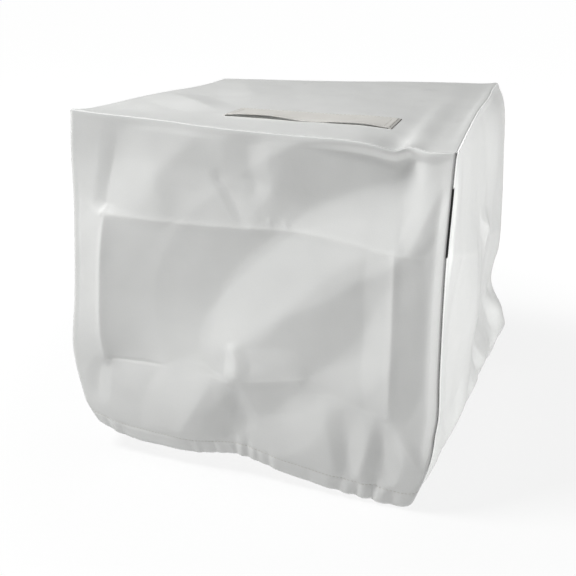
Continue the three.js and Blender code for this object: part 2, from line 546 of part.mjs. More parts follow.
// A closed thin solid around a grid of points halfway through a cloth. Each row runs along u and the rows
// follow each other along v, and u cross v points out of the cloth's outer face. At a rim, lean is the
// direction in which the sewn edge is mitred, and hold is the direction in which it is held back.
function sheetSolid(grid, thickness, rim) {
  const rows = grid.length;
  const columns = grid[0].length;
  const outer = [];
  const inner = [];
  for (let j = 0; j < rows; j++) {
    for (let i = 0; i < columns; i++) {
      const u = grid[j][Math.min(i + 1, columns - 1)].clone().sub(grid[j][Math.max(i - 1, 0)]);
      const v = grid[Math.min(j + 1, rows - 1)][i].clone().sub(grid[Math.max(j - 1, 0)][i]);
      const edge = rim(i, j, columns - 1, rows - 1);
      const lean = edge ? edge.lean.clone() : u.cross(v).normalize();
      const point = edge ? grid[j][i].clone().addScaledVector(edge.hold, seamGap) : grid[j][i];
      outer.push(point.clone().addScaledVector(lean, thickness / 2));
      inner.push(point.clone().addScaledVector(lean, -thickness / 2));
    }
  }
  const points = [...outer, ...inner].flatMap((p) => [p.x, p.y, p.z]);
  const faces = [];
  const quad = (a, b, c, d) => faces.push(a, b, c, a, c, d);
  const under = rows * columns;
  const at = (i, j) => j * columns + i;
  for (let j = 0; j + 1 < rows; j++) {
    for (let i = 0; i + 1 < columns; i++) {
      quad(at(i, j), at(i + 1, j), at(i + 1, j + 1), at(i, j + 1));
      quad(under + at(i, j), under + at(i, j + 1), under + at(i + 1, j + 1), under + at(i + 1, j));
    }
  }
  // The two sheets at a seam split their rims the same way, so that their mitred faces stay apart evenly.
  const order = (k) => points[3 * k] + points[3 * k + 1] + points[3 * k + 2];
  const rimQuad = (a, b) => {
    if (order(a) < order(b)) quad(a, b, under + b, under + a);
    else quad(b, under + b, under + a, a);
  };
  for (let i = 0; i + 1 < columns; i++) {
    rimQuad(at(i + 1, 0), at(i, 0));
    rimQuad(at(i, rows - 1), at(i + 1, rows - 1));
  }
  for (let j = 0; j + 1 < rows; j++) {
    rimQuad(at(0, j), at(0, j + 1));
    rimQuad(at(columns - 1, j + 1), at(columns - 1, j));
  }
  const geometry = new THREE.BufferGeometry();
  geometry.setAttribute("position", new THREE.Float32BufferAttribute(points, 3));
  geometry.setIndex(faces);
  return geometry;
}

const upward = new THREE.Vector3(0, 0, 1);
const outwardOf = (name) => new THREE.Vector3(walls[name].out[0], walls[name].out[1], 0);
const neighbours = {
  front: { before: "left", after: "right" },
  right: { before: "front", after: "back" },
  back: { before: "right", after: "left" },
  left: { before: "back", after: "front" },
};

// A wall with its hem. Its rows run from the hem to the top, so that its outer face looks outwards.
function wallGeometry(name) {
  const levels = stepPlaces(wallRows).reverse();
  const shares = stepPlaces(walls[name].run[0] ? acrossColumns : alongColumns);
  if (name === "back") shares.reverse().forEach((share, i) => (shares[i] = 1 - share));
  const grid = levels.map((level) => shares.map((share) => wallPoint(name, share, level)));
  const rim = (i, j, lastColumn, lastRow) => {
    const met = [];
    if (i === 0) met.push(outwardOf(neighbours[name].before));
    if (i === lastColumn) met.push(outwardOf(neighbours[name].after));
    if (j === lastRow) met.push(upward.clone());
    if (!met.length && j > 0) return null;
    const hold = met.reduce((sum, n) => sum.sub(n), new THREE.Vector3());
    return { lean: outwardOf(name).sub(hold), hold };
  };
  return sheetSolid(grid, cloth, rim);
}

function topGeometry() {
  const easts = stepPlaces(acrossColumns);
  const norths = stepPlaces(alongColumns);
  const grid = norths.map((north) => easts.map((east) => topPoint(east, north)));
  const rim = (i, j, lastColumn, lastRow) => {
    const met = [];
    if (i === 0) met.push(outwardOf("left"));
    if (i === lastColumn) met.push(outwardOf("right"));
    if (j === 0) met.push(outwardOf("front"));
    if (j === lastRow) met.push(outwardOf("back"));
    if (!met.length) return null;
    const hold = met.reduce((sum, n) => sum.sub(n), new THREE.Vector3());
    return { lean: upward.clone().sub(hold), hold };
  };
  return sheetSolid(grid, cloth, rim);
}

// The long slot, as the solid that is cut out of the top: a stadium stood on end
function slotGeometry() {
  const outline = new THREE.Shape();
  const reach = (slot.length - slot.width) / 2;
  outline.absarc(reach, 0, slot.width / 2, -Math.PI / 2, Math.PI / 2);
  outline.absarc(-reach, 0, slot.width / 2, Math.PI / 2, (3 * Math.PI) / 2);
  outline.closePath();
  const geometry = new THREE.ExtrudeGeometry(outline, {
    depth: slot.height, bevelEnabled: false, curveSegments: slot.roundSteps,
  });
  return geometry.translate(slot.x, slot.y, -slot.height / 2);
}

// The flap follows the top's cloth, a hair above it, and its free front edge stands up in two waves.
function flapGeometry() {
  const grid = [];
  for (let j = 0; j <= flapRows; j++) {
    const forward = 1 - j / flapRows;
    const y = THREE.MathUtils.lerp(flap.back, flap.front, forward);
    grid.push([]);
    for (let i = 0; i <= flapColumns; i++) {
      const x = THREE.MathUtils.lerp(flap.left, flap.right, i / flapColumns);
      const top = topPoint((x + width / 2) / width, (y + depth / 2) / depth);
      const wave = readTable(flapWave, "place", "lift", x) * forward ** flap.curl;
      grid[j].push(new THREE.Vector3(x, y, top.z + cloth / 2 + flap.clearance + flap.thickness / 2 + wave));
    }
  }
  return sheetSolid(grid, flap.thickness, () => null);
}

const wasm = await Module();
wasm.setup();

function solidFrom(geometry) {
  const bare = geometry.index ? geometry.toNonIndexed() : geometry.clone();
  bare.deleteAttribute("normal");
  bare.deleteAttribute("uv");
  const merged = mergeVertices(bare, sameSpot);
  return new wasm.Manifold(new wasm.Mesh({
    numProp: 3,
    vertProperties: merged.attributes.position.array,
    triVerts: new Uint32Array(merged.index.array),
  }));
}

function geometryFrom(solid) {
  const mesh = solid.getMesh();
  const geometry = new THREE.BufferGeometry();
  geometry.setAttribute("position", new THREE.BufferAttribute(new Float32Array(mesh.vertProperties), 3));
  geometry.setIndex(new THREE.BufferAttribute(new Uint32Array(mesh.triVerts), 1));
  return geometry;
}

const clothFinish = new THREE.MeshStandardMaterial(clothLook);
const flapFinish = new THREE.MeshStandardMaterial(flapLook);

function addPiece(group, name, geometry, finish) {
  geometry.computeVertexNormals();
  const piece = new THREE.Mesh(geometry, finish);
  piece.name = name;
  group.add(piece);
}

const cover = new THREE.Group();
const slottedTop = solidFrom(topGeometry()).subtract(solidFrom(slotGeometry()));
addPiece(cover, "top_panel", geometryFrom(slottedTop), clothFinish);
for (const name of Object.keys(walls)) addPiece(cover, name + "_panel", wallGeometry(name), clothFinish);
addPiece(cover, "slot_flap", flapGeometry(), flapFinish);

export default cover;
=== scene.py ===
import bpy
import math
import numpy as np
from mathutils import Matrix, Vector


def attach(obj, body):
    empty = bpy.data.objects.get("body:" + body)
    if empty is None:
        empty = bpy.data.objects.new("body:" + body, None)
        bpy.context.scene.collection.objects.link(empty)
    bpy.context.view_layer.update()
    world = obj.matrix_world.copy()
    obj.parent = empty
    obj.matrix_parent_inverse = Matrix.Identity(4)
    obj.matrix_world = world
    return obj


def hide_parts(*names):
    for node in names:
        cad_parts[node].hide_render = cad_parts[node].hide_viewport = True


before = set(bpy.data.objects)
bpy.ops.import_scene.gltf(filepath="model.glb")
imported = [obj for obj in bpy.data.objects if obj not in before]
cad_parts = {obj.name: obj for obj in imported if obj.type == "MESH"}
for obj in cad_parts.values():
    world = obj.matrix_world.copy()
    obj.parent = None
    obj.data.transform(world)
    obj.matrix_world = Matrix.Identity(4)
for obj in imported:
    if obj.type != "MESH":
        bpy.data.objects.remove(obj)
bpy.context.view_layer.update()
print("frame loaded:", ", ".join(sorted(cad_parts)))

mm = 0.001

# The camera stands where the photo was taken from; its angles are in degrees.
cameraPlace = {"location": (0.31585, -1.01998, 0.16834), "turn": 18.856, "tilt": 21.96, "lens": 50,
               "sensor": 36, "nearest": 0.01, "farthest": 60}
cameraAngles = (math.radians(90 - cameraPlace["tilt"]), 0, math.radians(cameraPlace["turn"]))
bpy.ops.object.camera_add(location=cameraPlace["location"], rotation=cameraAngles)
camera = bpy.context.object
camera.data.lens = cameraPlace["lens"]
camera.data.sensor_width = cameraPlace["sensor"]
camera.data.clip_start = cameraPlace["nearest"]
camera.data.clip_end = cameraPlace["farthest"]
bpy.context.scene.camera = camera

# Sizes of the cover, in millimetres. The cloth is calm beside its seams and stiffer towards its hem, and
# what the top's edge and the hem's edge do fades into each wall.
box = {"width": 440, "depth": 450, "drop": 415}
cloth = {"thickness": 1.3, "edgeCalm": 14, "hemCalm": 30, "hemShare": 0.4, "cornerFall": 0.651,
         "edgeFade": 3, "hemFade": 6}
skirt = {"from": 200, "fullest": 340, "out": {"front": 5, "right": 3, "back": 8, "left": 6}}

# Each upright seam: how far it rises at the top and is lifted at the hem, and rows of the level below the
# top, how far it stands out sideways, and how far to the front or back
corners = {
    "frontLeft": {"side": -1, "end": -1, "rise": 16, "lift": 12, "rows": [
        (0, -2, 0), (45, 8, -7), (95, 13, -10), (145, 19, -12), (230, 30, -14), (295, 40, -14),
        (330, 39, -14), (358, 34, -13), (388, 26, -11), (415, 11, -11)]},
    "frontRight": {"side": 1, "end": -1, "rise": -3, "lift": 3, "rows": [
        (0, 1, 0), (52, 0, 0), (116, -1, 0), (185, 0, 0), (257, 2, 0), (305, 4, 0), (330, 2, 0),
        (358, 0, -1), (390, -6, -6), (415, -15, -14)]},
    "backRight": {"side": 1, "end": 1, "rise": 7, "lift": -9, "rows": [
        (0, -3, 0), (22, 8, 2), (50, 13, 3), (95, 16, 4), (170, 21, 5), (245, 23, 8), (285, 15, 10),
        (310, 15, 12), (340, 27, 13), (368, 42, 14), (392, 36, 9), (415, 26, -2)]},
    "backLeft": {"side": -1, "end": 1, "rise": -5, "lift": -2, "rows": [
        (0, -1, 0), (50, 4, 2), (150, 9, 5), (250, 17, 10), (325, 27, 13), (378, 22, 9), (415, 7, -6)]},
}

# The top's edges between the corners: the place along the side, the height over the plain top, how far it
# stands out
topEdges = {
    "front": [(-187, 14, 1), (-142, 12, 1), (-99, 10, 1), (-57, 7, 1), (-16, 5, 1), (47, 3, 0), (106, 2, 0),
              (134, -1, 0), (158, -6, -2), (173, -2, -4), (194, -5, 0)],
    "right": [(-120, -1, -2), (0, 2, -4), (90, 4, -2), (165, 5, -4)],
    "back": [(-157, -4, 1), (-89, -3, 2), (-7, -1, 3), (72, 2, 3), (148, 4, 2), (200, 5, 1)],
    "left": [(-190, 10, 6), (-150, 6, 11), (-82, 5, 6), (-34, 3, 8), (10, 1, 8), (50, 0, 2), (100, -2, -4),
             (160, -4, -4)],
}

# The hem's edges in the same way, with their height measured from the average hem
hemEdges = {
    "front": [(-214, 4, -11), (-197, -2, -11), (-165, -7, -11), (-125, -8, -11), (-89, -8, -11),
              (-65, -4, -11), (-36, 1, -11), (-15, 0, -11), (13, -7, -11), (37, -13, -11), (90, -21, -11),
              (154, -27, -11), (185, -28, -11), (199, -20, -12)],
    "right": [(-190, 2, -9), (-150, 2, -6), (-100, 8, -2), (-50, 5, 4), (0, 4, 9), (50, 4, 14), (100, 4, 19),
              (150, 3, 24), (195, -4, 27)],
    "back": [(-170, -2, -8), (-100, -8, -6), (-20, -1, -8), (60, -5, -7), (150, -11, -6), (215, -9, -5)],
    "left": [(-170, 3, 14), (-90, -1, 12), (0, 5, 10), (90, 1, 12), (170, -2, 9)],
}

# Folds. Each has its hollowness (0 is a soft swell, 1 a straight-sided fold, more is a hollow-sided
# crease), the rounding of its crest, and its path. A path's rows say where it runs, across and down the
# cloth from the panel's upper left corner, how far it stands out (less than 0 for a trough), and how far it
# reaches to its right and to its left where the path runs down, which is above and below where it runs
# across.
frontFolds = [
    # upper packing crease
    (1.3, 0.6, [(2, 98, 0, 40, 30), (24, 104, 2.5, 50, 60), (48, 112, 5, 70, 90), (120, 112, 5, 70, 110),
                (216, 109, 5, 60, 110), (282, 107, 3.5, 40, 80), (340, 113, 1.5, 40, 60),
                (388, 117, 1, 30, 40), (434, 118, 0, 20, 20)]),
    # left upright packing crease
    (1.7, 1, [(48, 100, 0, 30, 20), (45, 125, 5.5, 70, 44), (40, 170, 8, 105, 42), (39, 220, 8, 105, 42),
              (42, 270, 6.5, 90, 42), (47, 304, 2.5, 40, 30), (49, 318, 0, 20, 20)]),
    # trough beside the left corner
    (1.2, 2, [(62, -4, 0, 30, 20), (60, 32, -1.2, 46, 18), (52, 67, -2.4, 50, 16), (46, 100, -2, 40, 14),
              (47, 114, 0, 20, 10)]),
    # swell under the top edge
    (1.2, 5, [(162, -4, 0, 40, 60), (150, 20, 2.5, 44, 60), (125, 45, 4, 50, 60), (112, 62, 5, 56, 54),
              (115, 82, 4, 50, 50), (132, 112, 0, 30, 40)]),
    # dent right of the swell
    (1.2, 1, [(182, 44, 0, 10, 8), (189, 58, -2, 24, 9), (202, 75, -2.6, 24, 10), (222, 110, 0, 10, 8)]),
    # hollow under the top edge
    (1.1, 3, [(216, -4, 0, 24, 24), (219, 25, -2.4, 22, 26), (223, 45, -2.6, 20, 26),
              (229, 60, -2, 16, 24), (219, 80, 0, 10, 16)]),
    # soft ridge right of the hollow
    (1, 6, [(262, -4, 0, 40, 26), (256, 40, 1.6, 40, 26), (251, 75, 1, 30, 20), (248, 98, 0, 16, 12)]),
    # great slanting trough
    (1, 5, [(404, -2, 0, 24, 30), (394, 14, -7, 50, 36), (378, 31, -11, 70, 50), (340, 55, -13, 84, 62),
            (302, 74, -12, 90, 66), (276, 94, -9, 90, 70), (243, 124, -7, 84, 74),
            (208, 160, -6, 76, 76), (188, 200, -5, 70, 76), (181, 245, -3.5, 56, 64),
            (178, 292, 0, 30, 40)]),
    # great slanting ridge
    (1, 5, [(396, 108, 0, 24, 20), (352, 127, 3, 40, 40), (320, 151, 5, 64, 56), (289, 186, 6, 70, 62),
            (256, 220, 6, 74, 62), (230, 246, 6, 70, 56), (214, 261, 5, 60, 44), (216, 280, 4, 50, 34),
            (217, 298, 2.5, 40, 24), (217, 312, 0, 24, 16)]),
    # notch at the ridge's foot
    (1, 1, [(206, 254, 0, 10, 10), (212, 263, 2.4, 14, 12), (217, 277, 2.8, 15, 14),
            (216, 296, 2, 15, 14), (216, 306, 0, 10, 10)]),
    # trough below the ridge
    (1.1, 6, [(348, 150, 0, 20, 20), (358, 175, -2, 26, 44), (363, 205, -3, 26, 60),
              (352, 240, -3.5, 34, 66), (322, 266, -3.5, 40, 70), (290, 290, 0, 30, 50)]),
    # lower packing crease, left
    (1.5, 0.6, [(44, 307, 0, 10, 10), (60, 306, -3, 90, 40), (100, 303, -3, 90, 40),
                (121, 301, -1, 40, 30), (132, 300, 0, 10, 10)]),
    # fine line along it
    (1, 0.5, [(44, 308, 0, 3, 3), (56, 306, -0.4, 3, 3), (112, 302, -0.4, 3, 3), (124, 300, 0, 3, 3)]),
    # lower packing crease, middle
    (1.1, 0.6, [(162, 304, 0, 16, 20), (192, 305, 1.6, 24, 34), (206, 307, 2.6, 34, 40),
                (250, 296, 4, 44, 46), (284, 287, 3, 40, 40), (300, 282, 0, 10, 10)]),
    # lower packing crease, right
    (1.2, 1, [(292, 284, 0, 10, 10), (330, 300, -1, 24, 24), (374, 311, -1.2, 24, 24),
              (390, 307, 0, 10, 10)]),
    # ridge of the low facet
    (1, 3, [(192, 296, 0, 20, 20), (178, 325, 6, 40, 56), (156, 360, 7.5, 46, 60), (134, 390, 5, 46, 50),
            (126, 404, 2, 40, 40)]),
    # trough right of the facet
    (1, 5, [(302, 284, 0, 16, 20), (280, 312, -4, 46, 44), (259, 337, -5, 50, 44),
            (232, 360, -5, 44, 40), (204, 386, -4, 34, 34), (194, 400, 0, 20, 20)]),
    # short trough under the notch
    (1, 3, [(206, 300, 0, 10, 10), (216, 330, -1.6, 12, 16), (224, 352, -1.6, 12, 16),
            (214, 376, 0, 10, 10)]),
    # right upright packing crease
    (1, 0.8, [(386, 52, 0, 20, 20), (386, 110, 1.5, 24, 24), (387, 130, 3, 32, 30),
              (388, 200, 3.8, 34, 30), (388, 270, 3.5, 34, 30), (387, 306, 2, 24, 24),
              (386, 320, 0, 10, 10)]),
    # trough beside the right seam
    (1, 4, [(433, 20, 0, 8, 10), (430, 60, -3, 16, 24), (428, 110, -3.2, 18, 32), (424, 200, -4, 20, 34),
            (424, 300, -3.4, 20, 34), (427, 360, -1.5, 14, 24), (430, 396, 0, 10, 20)]),
    # crease in the upper right corner
    (1, 1.5, [(436, 22, 0, 6, 8), (424, 50, 1.5, 8, 14), (408, 95, 2.2, 16, 16), (398, 122, 0, 12, 12)]),
    # pleats above the hem, from the left: a ridge
    (1, 4, [(316, 300, 0, 16, 30), (320, 330, 2, 18, 50), (326, 360, 2.6, 16, 50),
            (334, 392, 2.4, 14, 40), (336, 408, 1, 14, 30)]),
    # a trough
    (1, 4, [(334, 312, 0, 12, 14), (344, 350, -1.4, 18, 16), (352, 395, -2, 14, 14),
            (354, 408, 0, 12, 12)]),
    # a ridge
    (1, 1.5, [(374, 308, 0, 8, 14), (370, 345, 2, 14, 20), (361, 395, 2.4, 14, 16), (358, 408, 0, 12, 12)]),
    # a deep trough
    (1, 2, [(374, 312, 0, 8, 8), (386, 345, -3, 20, 16), (388, 376, -3.6, 20, 20),
            (385, 400, -3, 12, 18), (384, 414, 0, 8, 12)]),
    # crease in the lower right corner
    (1, 1, [(396, 324, 0, 6, 6), (412, 346, 2.2, 10, 14), (426, 365, 1.6, 10, 12), (434, 378, 0, 6, 6)]),
    # sharp line on the upper crease
    (2, 0.5, [(30, 105, 0, 6, 10), (48, 111, 0.5, 8, 16), (120, 111.5, 0.4, 8, 18),
              (216, 108.5, 0.5, 8, 16), (262, 107, 0.5, 7, 12), (300, 109, 0.3, 7, 10),
              (388, 117, 0.3, 7, 8), (432, 118, 0, 6, 6)]),
    # sharp line on the left upright crease
    (2, 0.5, [(46, 112, 0, 10, 6), (43, 140, 0.8, 16, 8), (40, 200, 0.9, 18, 8), (40, 260, 0.8, 16, 8),
              (44, 300, 0.3, 10, 6), (46, 312, 0, 8, 6)]),
    # sharp line on the right upright crease
    (2, 0.5, [(386, 100, 0, 8, 8), (387, 130, 0.6, 10, 10), (388, 200, 0.8, 12, 10),
              (388, 270, 0.7, 10, 10), (387, 306, 0, 8, 8)]),
    # three nicks on the upper crease
    (2, 0.5, [(244, 92, 0, 5, 5), (247, 99, 0.9, 6, 7), (250, 107, 0, 5, 5)]),
    (2, 0.5, [(262, 94, 0, 5, 5), (266, 100, 0.9, 6, 7), (270, 107, 0, 5, 5)]),
    (2, 0.5, [(36, 118, 0, 5, 5), (44, 108, 0.9, 6, 7), (50, 98, 0, 5, 5)]),
    # pressed strip under the top edge
    (1, 1, [(262, 11, 0, 6, 6), (300, 12, -1.2, 8, 9), (370, 13, -1.2, 8, 9), (404, 12, 0, 6, 6)]),
    # dent in the lower left corner
    (1, 2, [(50, 302, 0, 8, 8), (34, 330, -1.8, 16, 14), (26, 355, -1.8, 16, 14), (20, 378, 0, 10, 10)]),
    # trough left of the facet
    (1, 6, [(122, 300, 0, 20, 20), (128, 330, -1.4, 36, 36), (142, 370, -1.4, 36, 30),
            (152, 396, 0, 20, 20)]),
]
rightFolds = [
    # upper packing crease, front part
    (1.3, 1, [(2, 112, 0, 40, 50), (16, 116, 4, 50, 70), (90, 140, 5, 60, 80), (160, 160, 3, 50, 60),
              (200, 172, 0, 40, 50)]),
    # slanting trough
    (1, 6, [(214, 70, 0, 50, 60), (180, 130, -3, 60, 60), (110, 205, -1, 60, 70), (80, 280, -1, 50, 60),
            (52, 330, 0, 40, 40)]),
    # upright ridge
    (1, 8, [(200, 90, 0, 80, 50), (180, 150, 6, 130, 90), (158, 220, 12, 190, 120),
            (146, 290, 12, 200, 120), (140, 345, 7, 140, 90), (136, 380, 0, 60, 40)]),
    # broad trough behind the ridge
    (1, 10, [(330, 190, 0, 60, 80), (322, 240, -6, 70, 120), (310, 300, -6, 70, 120),
             (300, 340, 0, 60, 70)]),
    # short crease in the middle
    (1.3, 0.8, [(244, 134, 0, 8, 8), (252, 154, 2.6, 44, 24), (258, 184, 2.6, 50, 24),
                (262, 202, 0, 8, 8)]),
    # upper packing crease, back part
    (1.2, 1, [(218, 132, 0, 16, 16), (236, 146, 4, 24, 20), (280, 168, 5, 30, 26), (310, 184, 3, 40, 30),
              (390, 206, 2, 40, 40), (448, 224, 0, 40, 40)]),
    # swell in the upper front corner
    (0, 8, [(10, 10, 0, 30, 20), (20, 60, 3, 50, 20), (26, 112, 0, 40, 20)]),
    # swell in the upper back corner
    (0, 10, [(330, 10, 0, 90, 80), (350, 70, 5, 90, 80), (372, 150, 0, 90, 80)]),
    # lower packing crease
    (1.2, 1.5, [(120, 276, 0, 40, 40), (180, 296, -3, 50, 40), (300, 340, -3, 50, 40),
                (380, 356, 0, 40, 30)]),
    # bulge at the back
    (0, 8, [(400, 300, 0, 50, 40), (404, 332, 15, 50, 40), (398, 376, 0, 50, 40)]),
    # three troughs above the hem
    (1, 2, [(196, 302, 0, 14, 14), (222, 338, -7, 22, 16), (252, 374, -8, 22, 18), (292, 410, -5, 18, 18)]),
    (1, 2, [(146, 330, 0, 16, 16), (160, 362, -5, 20, 16), (180, 396, -5, 18, 16), (190, 414, 0, 14, 14)]),
    (1, 2, [(330, 350, 0, 16, 16), (346, 380, -5, 20, 18), (362, 410, -4, 18, 18)]),
    # swell above the hem
    (0, 8, [(84, 318, 0, 50, 50), (100, 352, 5, 50, 50), (110, 396, 0, 50, 50)]),
]
backFolds = [
    # upper packing crease
    (1.2, 2, [(14, 108, 0, 50, 70), (180, 104, 4, 50, 70), (424, 110, 0, 50, 70)]),
    # lower packing crease
    (1.2, 1.5, [(30, 304, 0, 30, 34), (190, 298, -3, 30, 34), (330, 306, 0, 30, 34)]),
    # left upright packing crease
    (1.2, 2, [(56, 104, 0, 60, 40), (60, 200, 6, 60, 40), (54, 310, 0, 60, 40)]),
    # right upright packing crease
    (1.2, 2, [(386, 108, 0, 40, 60), (380, 200, 6, 40, 60), (388, 316, 0, 40, 60)]),
    # great slanting trough
    (1, 8, [(60, 10, 0, 60, 60), (120, 70, -10, 60, 60), (200, 130, -10, 60, 60), (250, 230, 0, 60, 60)]),
    # ridge below the trough
    (1, 8, [(120, 150, 0, 60, 60), (190, 200, 7, 60, 60), (230, 280, 0, 60, 60)]),
    # hollow under the top edge
    (1, 5, [(310, 4, -5, 30, 30), (300, 60, -5, 30, 30), (322, 96, 0, 30, 30)]),
    # ridge above the hem
    (1, 4, [(268, 300, 0, 46, 46), (286, 350, 6, 46, 46), (292, 396, 0, 46, 46)]),
    # trough above the hem
    (1, 4, [(160, 312, 0, 34, 34), (148, 350, -6, 34, 34), (150, 396, 0, 34, 34)]),
]
leftFolds = [
    # upper packing crease
    (1.2, 2, [(14, 110, 0, 50, 70), (220, 104, 4, 50, 70), (436, 108, 0, 50, 70)]),
    # lower packing crease
    (1.2, 1.5, [(90, 300, 0, 30, 34), (250, 306, -3, 30, 34), (410, 303, 0, 30, 34)]),
    # upright packing crease
    (1.2, 2, [(404, 106, 0, 36, 70), (410, 200, 8, 36, 70), (416, 306, 0, 36, 70)]),
    # great slanting trough
    (1, 8, [(390, 8, 0, 60, 56), (320, 70, -10, 60, 56), (240, 150, -10, 60, 56), (200, 250, 0, 60, 56)]),
    # ridge below the trough
    (1, 8, [(340, 140, 0, 60, 60), (280, 210, 7, 60, 60), (250, 290, 0, 60, 60)]),
    # hollow near the back
    (0, 8, [(90, 20, 0, 50, 50), (110, 120, -6, 50, 50), (96, 260, 0, 50, 50)]),
    # ridge above the hem
    (1, 4, [(150, 300, 0, 46, 46), (166, 350, 6, 46, 46), (172, 396, 0, 46, 46)]),
    # trough above the hem
    (1, 4, [(300, 312, 0, 34, 34), (312, 350, -6, 34, 34), (310, 396, 0, 34, 34)]),
]
topFolds = [
    # slanting ridge
    (1.2, 3, [(2, 206, 0, 30, 40), (30, 238, 2.5, 34, 50), (60, 268, 3.5, 40, 50), (100, 306, 3, 36, 46),
              (140, 344, 0, 30, 30)]),
    # long ridge from the back left
    (1, 4, [(30, 10, 0, 50, 40), (84, 110, 2, 60, 40), (130, 210, 2, 60, 40), (158, 300, 0, 40, 30)]),
    # hollow along the right seam
    (0, 6, [(420, 20, 0, 18, 34), (421, 225, -2.5, 18, 34), (420, 434, 0, 18, 34)]),
    # sag on the right
    (0, 10, [(330, 60, 0, 80, 90), (342, 180, -2.5, 80, 90), (332, 290, 0, 80, 90)]),
    # dip behind the kink
    (1, 4, [(366, 380, 0, 30, 34), (375, 413, -2.5, 30, 34), (384, 446, 0, 30, 34)]),
]

# Gathers drawn up by the elastic in the hem: across, height out, half width, how far up they run, lean
gathers = {
    "front": [(142, -0.6, 5, 24, 2), (152, 0.5, 5, 26, 2), (157, -0.8, 3, 20, 1), (176, -0.8, 3, 22, 1),
              (183, 0.7, 5, 24, 0), (205, -1.1, 3, 26, 0), (212, 1.0, 4, 42, 3), (221, -1.0, 4, 38, 3),
              (228, 0.7, 4, 30, 2), (233, -0.7, 3, 24, 1), (249, -1.1, 4, 26, 0), (258, 0.6, 6, 26, 0),
              (302, -0.7, 6, 26, 0), (326, 0.8, 7, 30, 0), (340, -1.2, 5, 26, 0), (352, 1.3, 6, 30, 0),
              (362, -1.3, 4, 26, 0), (372, 1.3, 5, 30, 0), (383, -2.0, 4, 40, -2), (394, 1.6, 7, 30, -2),
              (408, -1.3, 6, 26, -4), (20, -1.0, 4, 22, 3), (30, 0.8, 5, 24, 3), (42, -0.7, 5, 22, 2),
              (66, 0.5, 8, 22, 0), (92, -0.4, 8, 22, 0), (118, 0.4, 8, 22, 0)],
    "right": [(30, -1.1, 6, 26, 2), (46, 1.0, 7, 28, 2), (64, -1.0, 6, 24, 2), (86, 1.1, 8, 30, 0),
              (104, -1.2, 7, 28, 0), (126, 1.1, 8, 28, 0), (148, -1.3, 7, 34, 0), (168, 1.0, 8, 28, 0),
              (214, 1.2, 9, 34, 0), (238, -1.4, 8, 36, -2), (262, 1.3, 9, 34, 0), (306, 1.1, 9, 30, 2),
              (330, -1.4, 8, 34, 2), (352, 1.4, 9, 36, 0), (376, -1.4, 8, 34, 0), (398, 1.3, 9, 34, 0),
              (420, -1.2, 8, 30, 0)],
    "back": [(24, -1.0, 6, 26, 2), (46, 0.9, 8, 28, 0), (70, -1.1, 6, 30, 0), (94, 1.0, 8, 28, 0),
             (120, -1.0, 6, 26, 0), (166, 1.1, 8, 32, 0), (190, -1.2, 7, 34, 2), (214, 1.1, 8, 30, 0),
             (240, -1.0, 6, 26, 0), (262, 0.8, 8, 28, 0), (318, -1.2, 7, 32, -2), (342, 1.1, 8, 30, 0),
             (368, -1.1, 6, 28, 0), (392, 1.0, 8, 28, 0), (416, -1.0, 6, 26, -2)],
    "left": [(26, -1.0, 6, 26, 2), (50, 1.0, 8, 28, 0), (74, -1.1, 6, 28, 0), (98, 1.1, 8, 30, 0),
             (124, -1.1, 7, 30, 0), (152, 1.0, 8, 28, 0), (200, -1.2, 7, 32, 0), (226, 1.1, 8, 30, 0),
             (252, -1.1, 6, 28, 0), (280, 1.0, 8, 28, 0), (336, -1.2, 7, 30, 0), (360, 1.1, 8, 30, 0),
             (386, -1.1, 6, 28, 0), (410, 1.0, 8, 28, 0), (430, -1.0, 6, 26, -2)],
}

# A gather is wider than it looks by this factor, full up to a share of its height, and fades below the hem.
# The hem's edge moves by a share of it.
gatherShape = {"widen": 1.8, "full": 0.35, "below": 6, "settled": 3, "edgeShare": 0.35, "edgeUp": 14,
               "endCalm": 12}

walls = {
    "front": {"from": "frontLeft", "to": "frontRight", "out": (0, -1), "run": (1, 0), "folds": frontFolds},
    "right": {"from": "frontRight", "to": "backRight", "out": (1, 0), "run": (0, 1), "folds": rightFolds},
    "back": {"from": "backRight", "to": "backLeft", "out": (0, 1), "run": (-1, 0), "folds": backFolds},
    "left": {"from": "backLeft", "to": "frontLeft", "out": (-1, 0), "run": (0, -1), "folds": leftFolds},
}

# The sewn edges: a narrow groove at the seam line between two rolled lips. The shadow line painted beside
# the right wall's front seam is widest below its top.
seam = {"grooveDepth": 2.5, "plainDepth": 0.7, "grooveWidth": 2.4, "sideShare": 0.45, "lipOut": 0.12,
        "lipAt": 4.2, "lipWidth": 3.8, "lipFrom": 2, "lipFull": 14, "topDepth": 0.1, "topGroove": 2,
        "topLip": 0.1, "cover": 8, "coverHeight": {"front": 0.1, "right": 0.5, "back": 0.2, "left": 0.2}}
shadow = {"width": 1.3, "least": 0.6, "widestAt": 75, "reach": 60}
hem = {"height": 17, "puff": 0.35, "edge": 3, "foot": 4, "stitchDip": 0.3, "dipWidth": 2.2}

# How a fold is made from its path: steps between rows, how softly heights and sides change along it, how
# round its foot is, and the share of its reach over which the foot runs out beyond it
foldShape = {"pathSteps": 6, "blur": 3, "blend": 8, "sideBlur": 0.5, "foot": 0.5, "tail": 0.6}
# Wear shows on creases up to this rounding, within this reach of their crest, in full from this height.
wearShape = {"roundest": 2, "reach": 5, "fullFrom": 3, "rounding": 0.5}

# A faint unevenness of the cloth: waves per millimetre across and down, and height
rippleWaves = [(0.071, 0.043, 0.09), (-0.052, 0.083, 0.08), (0.118, -0.037, 0.05), (0.029, 0.137, 0.04),
               (-0.149, -0.071, 0.03), (0.171, 0.119, 0.02)]


def smoothstep(value, low, high):
    t = np.clip((value - low) / (high - low), 0, 1)
    return t * t * (3 - 2 * t)


def bump(value, centre, halfWidth):
    return 1 - smoothstep(np.abs(value - centre), 0, halfWidth)


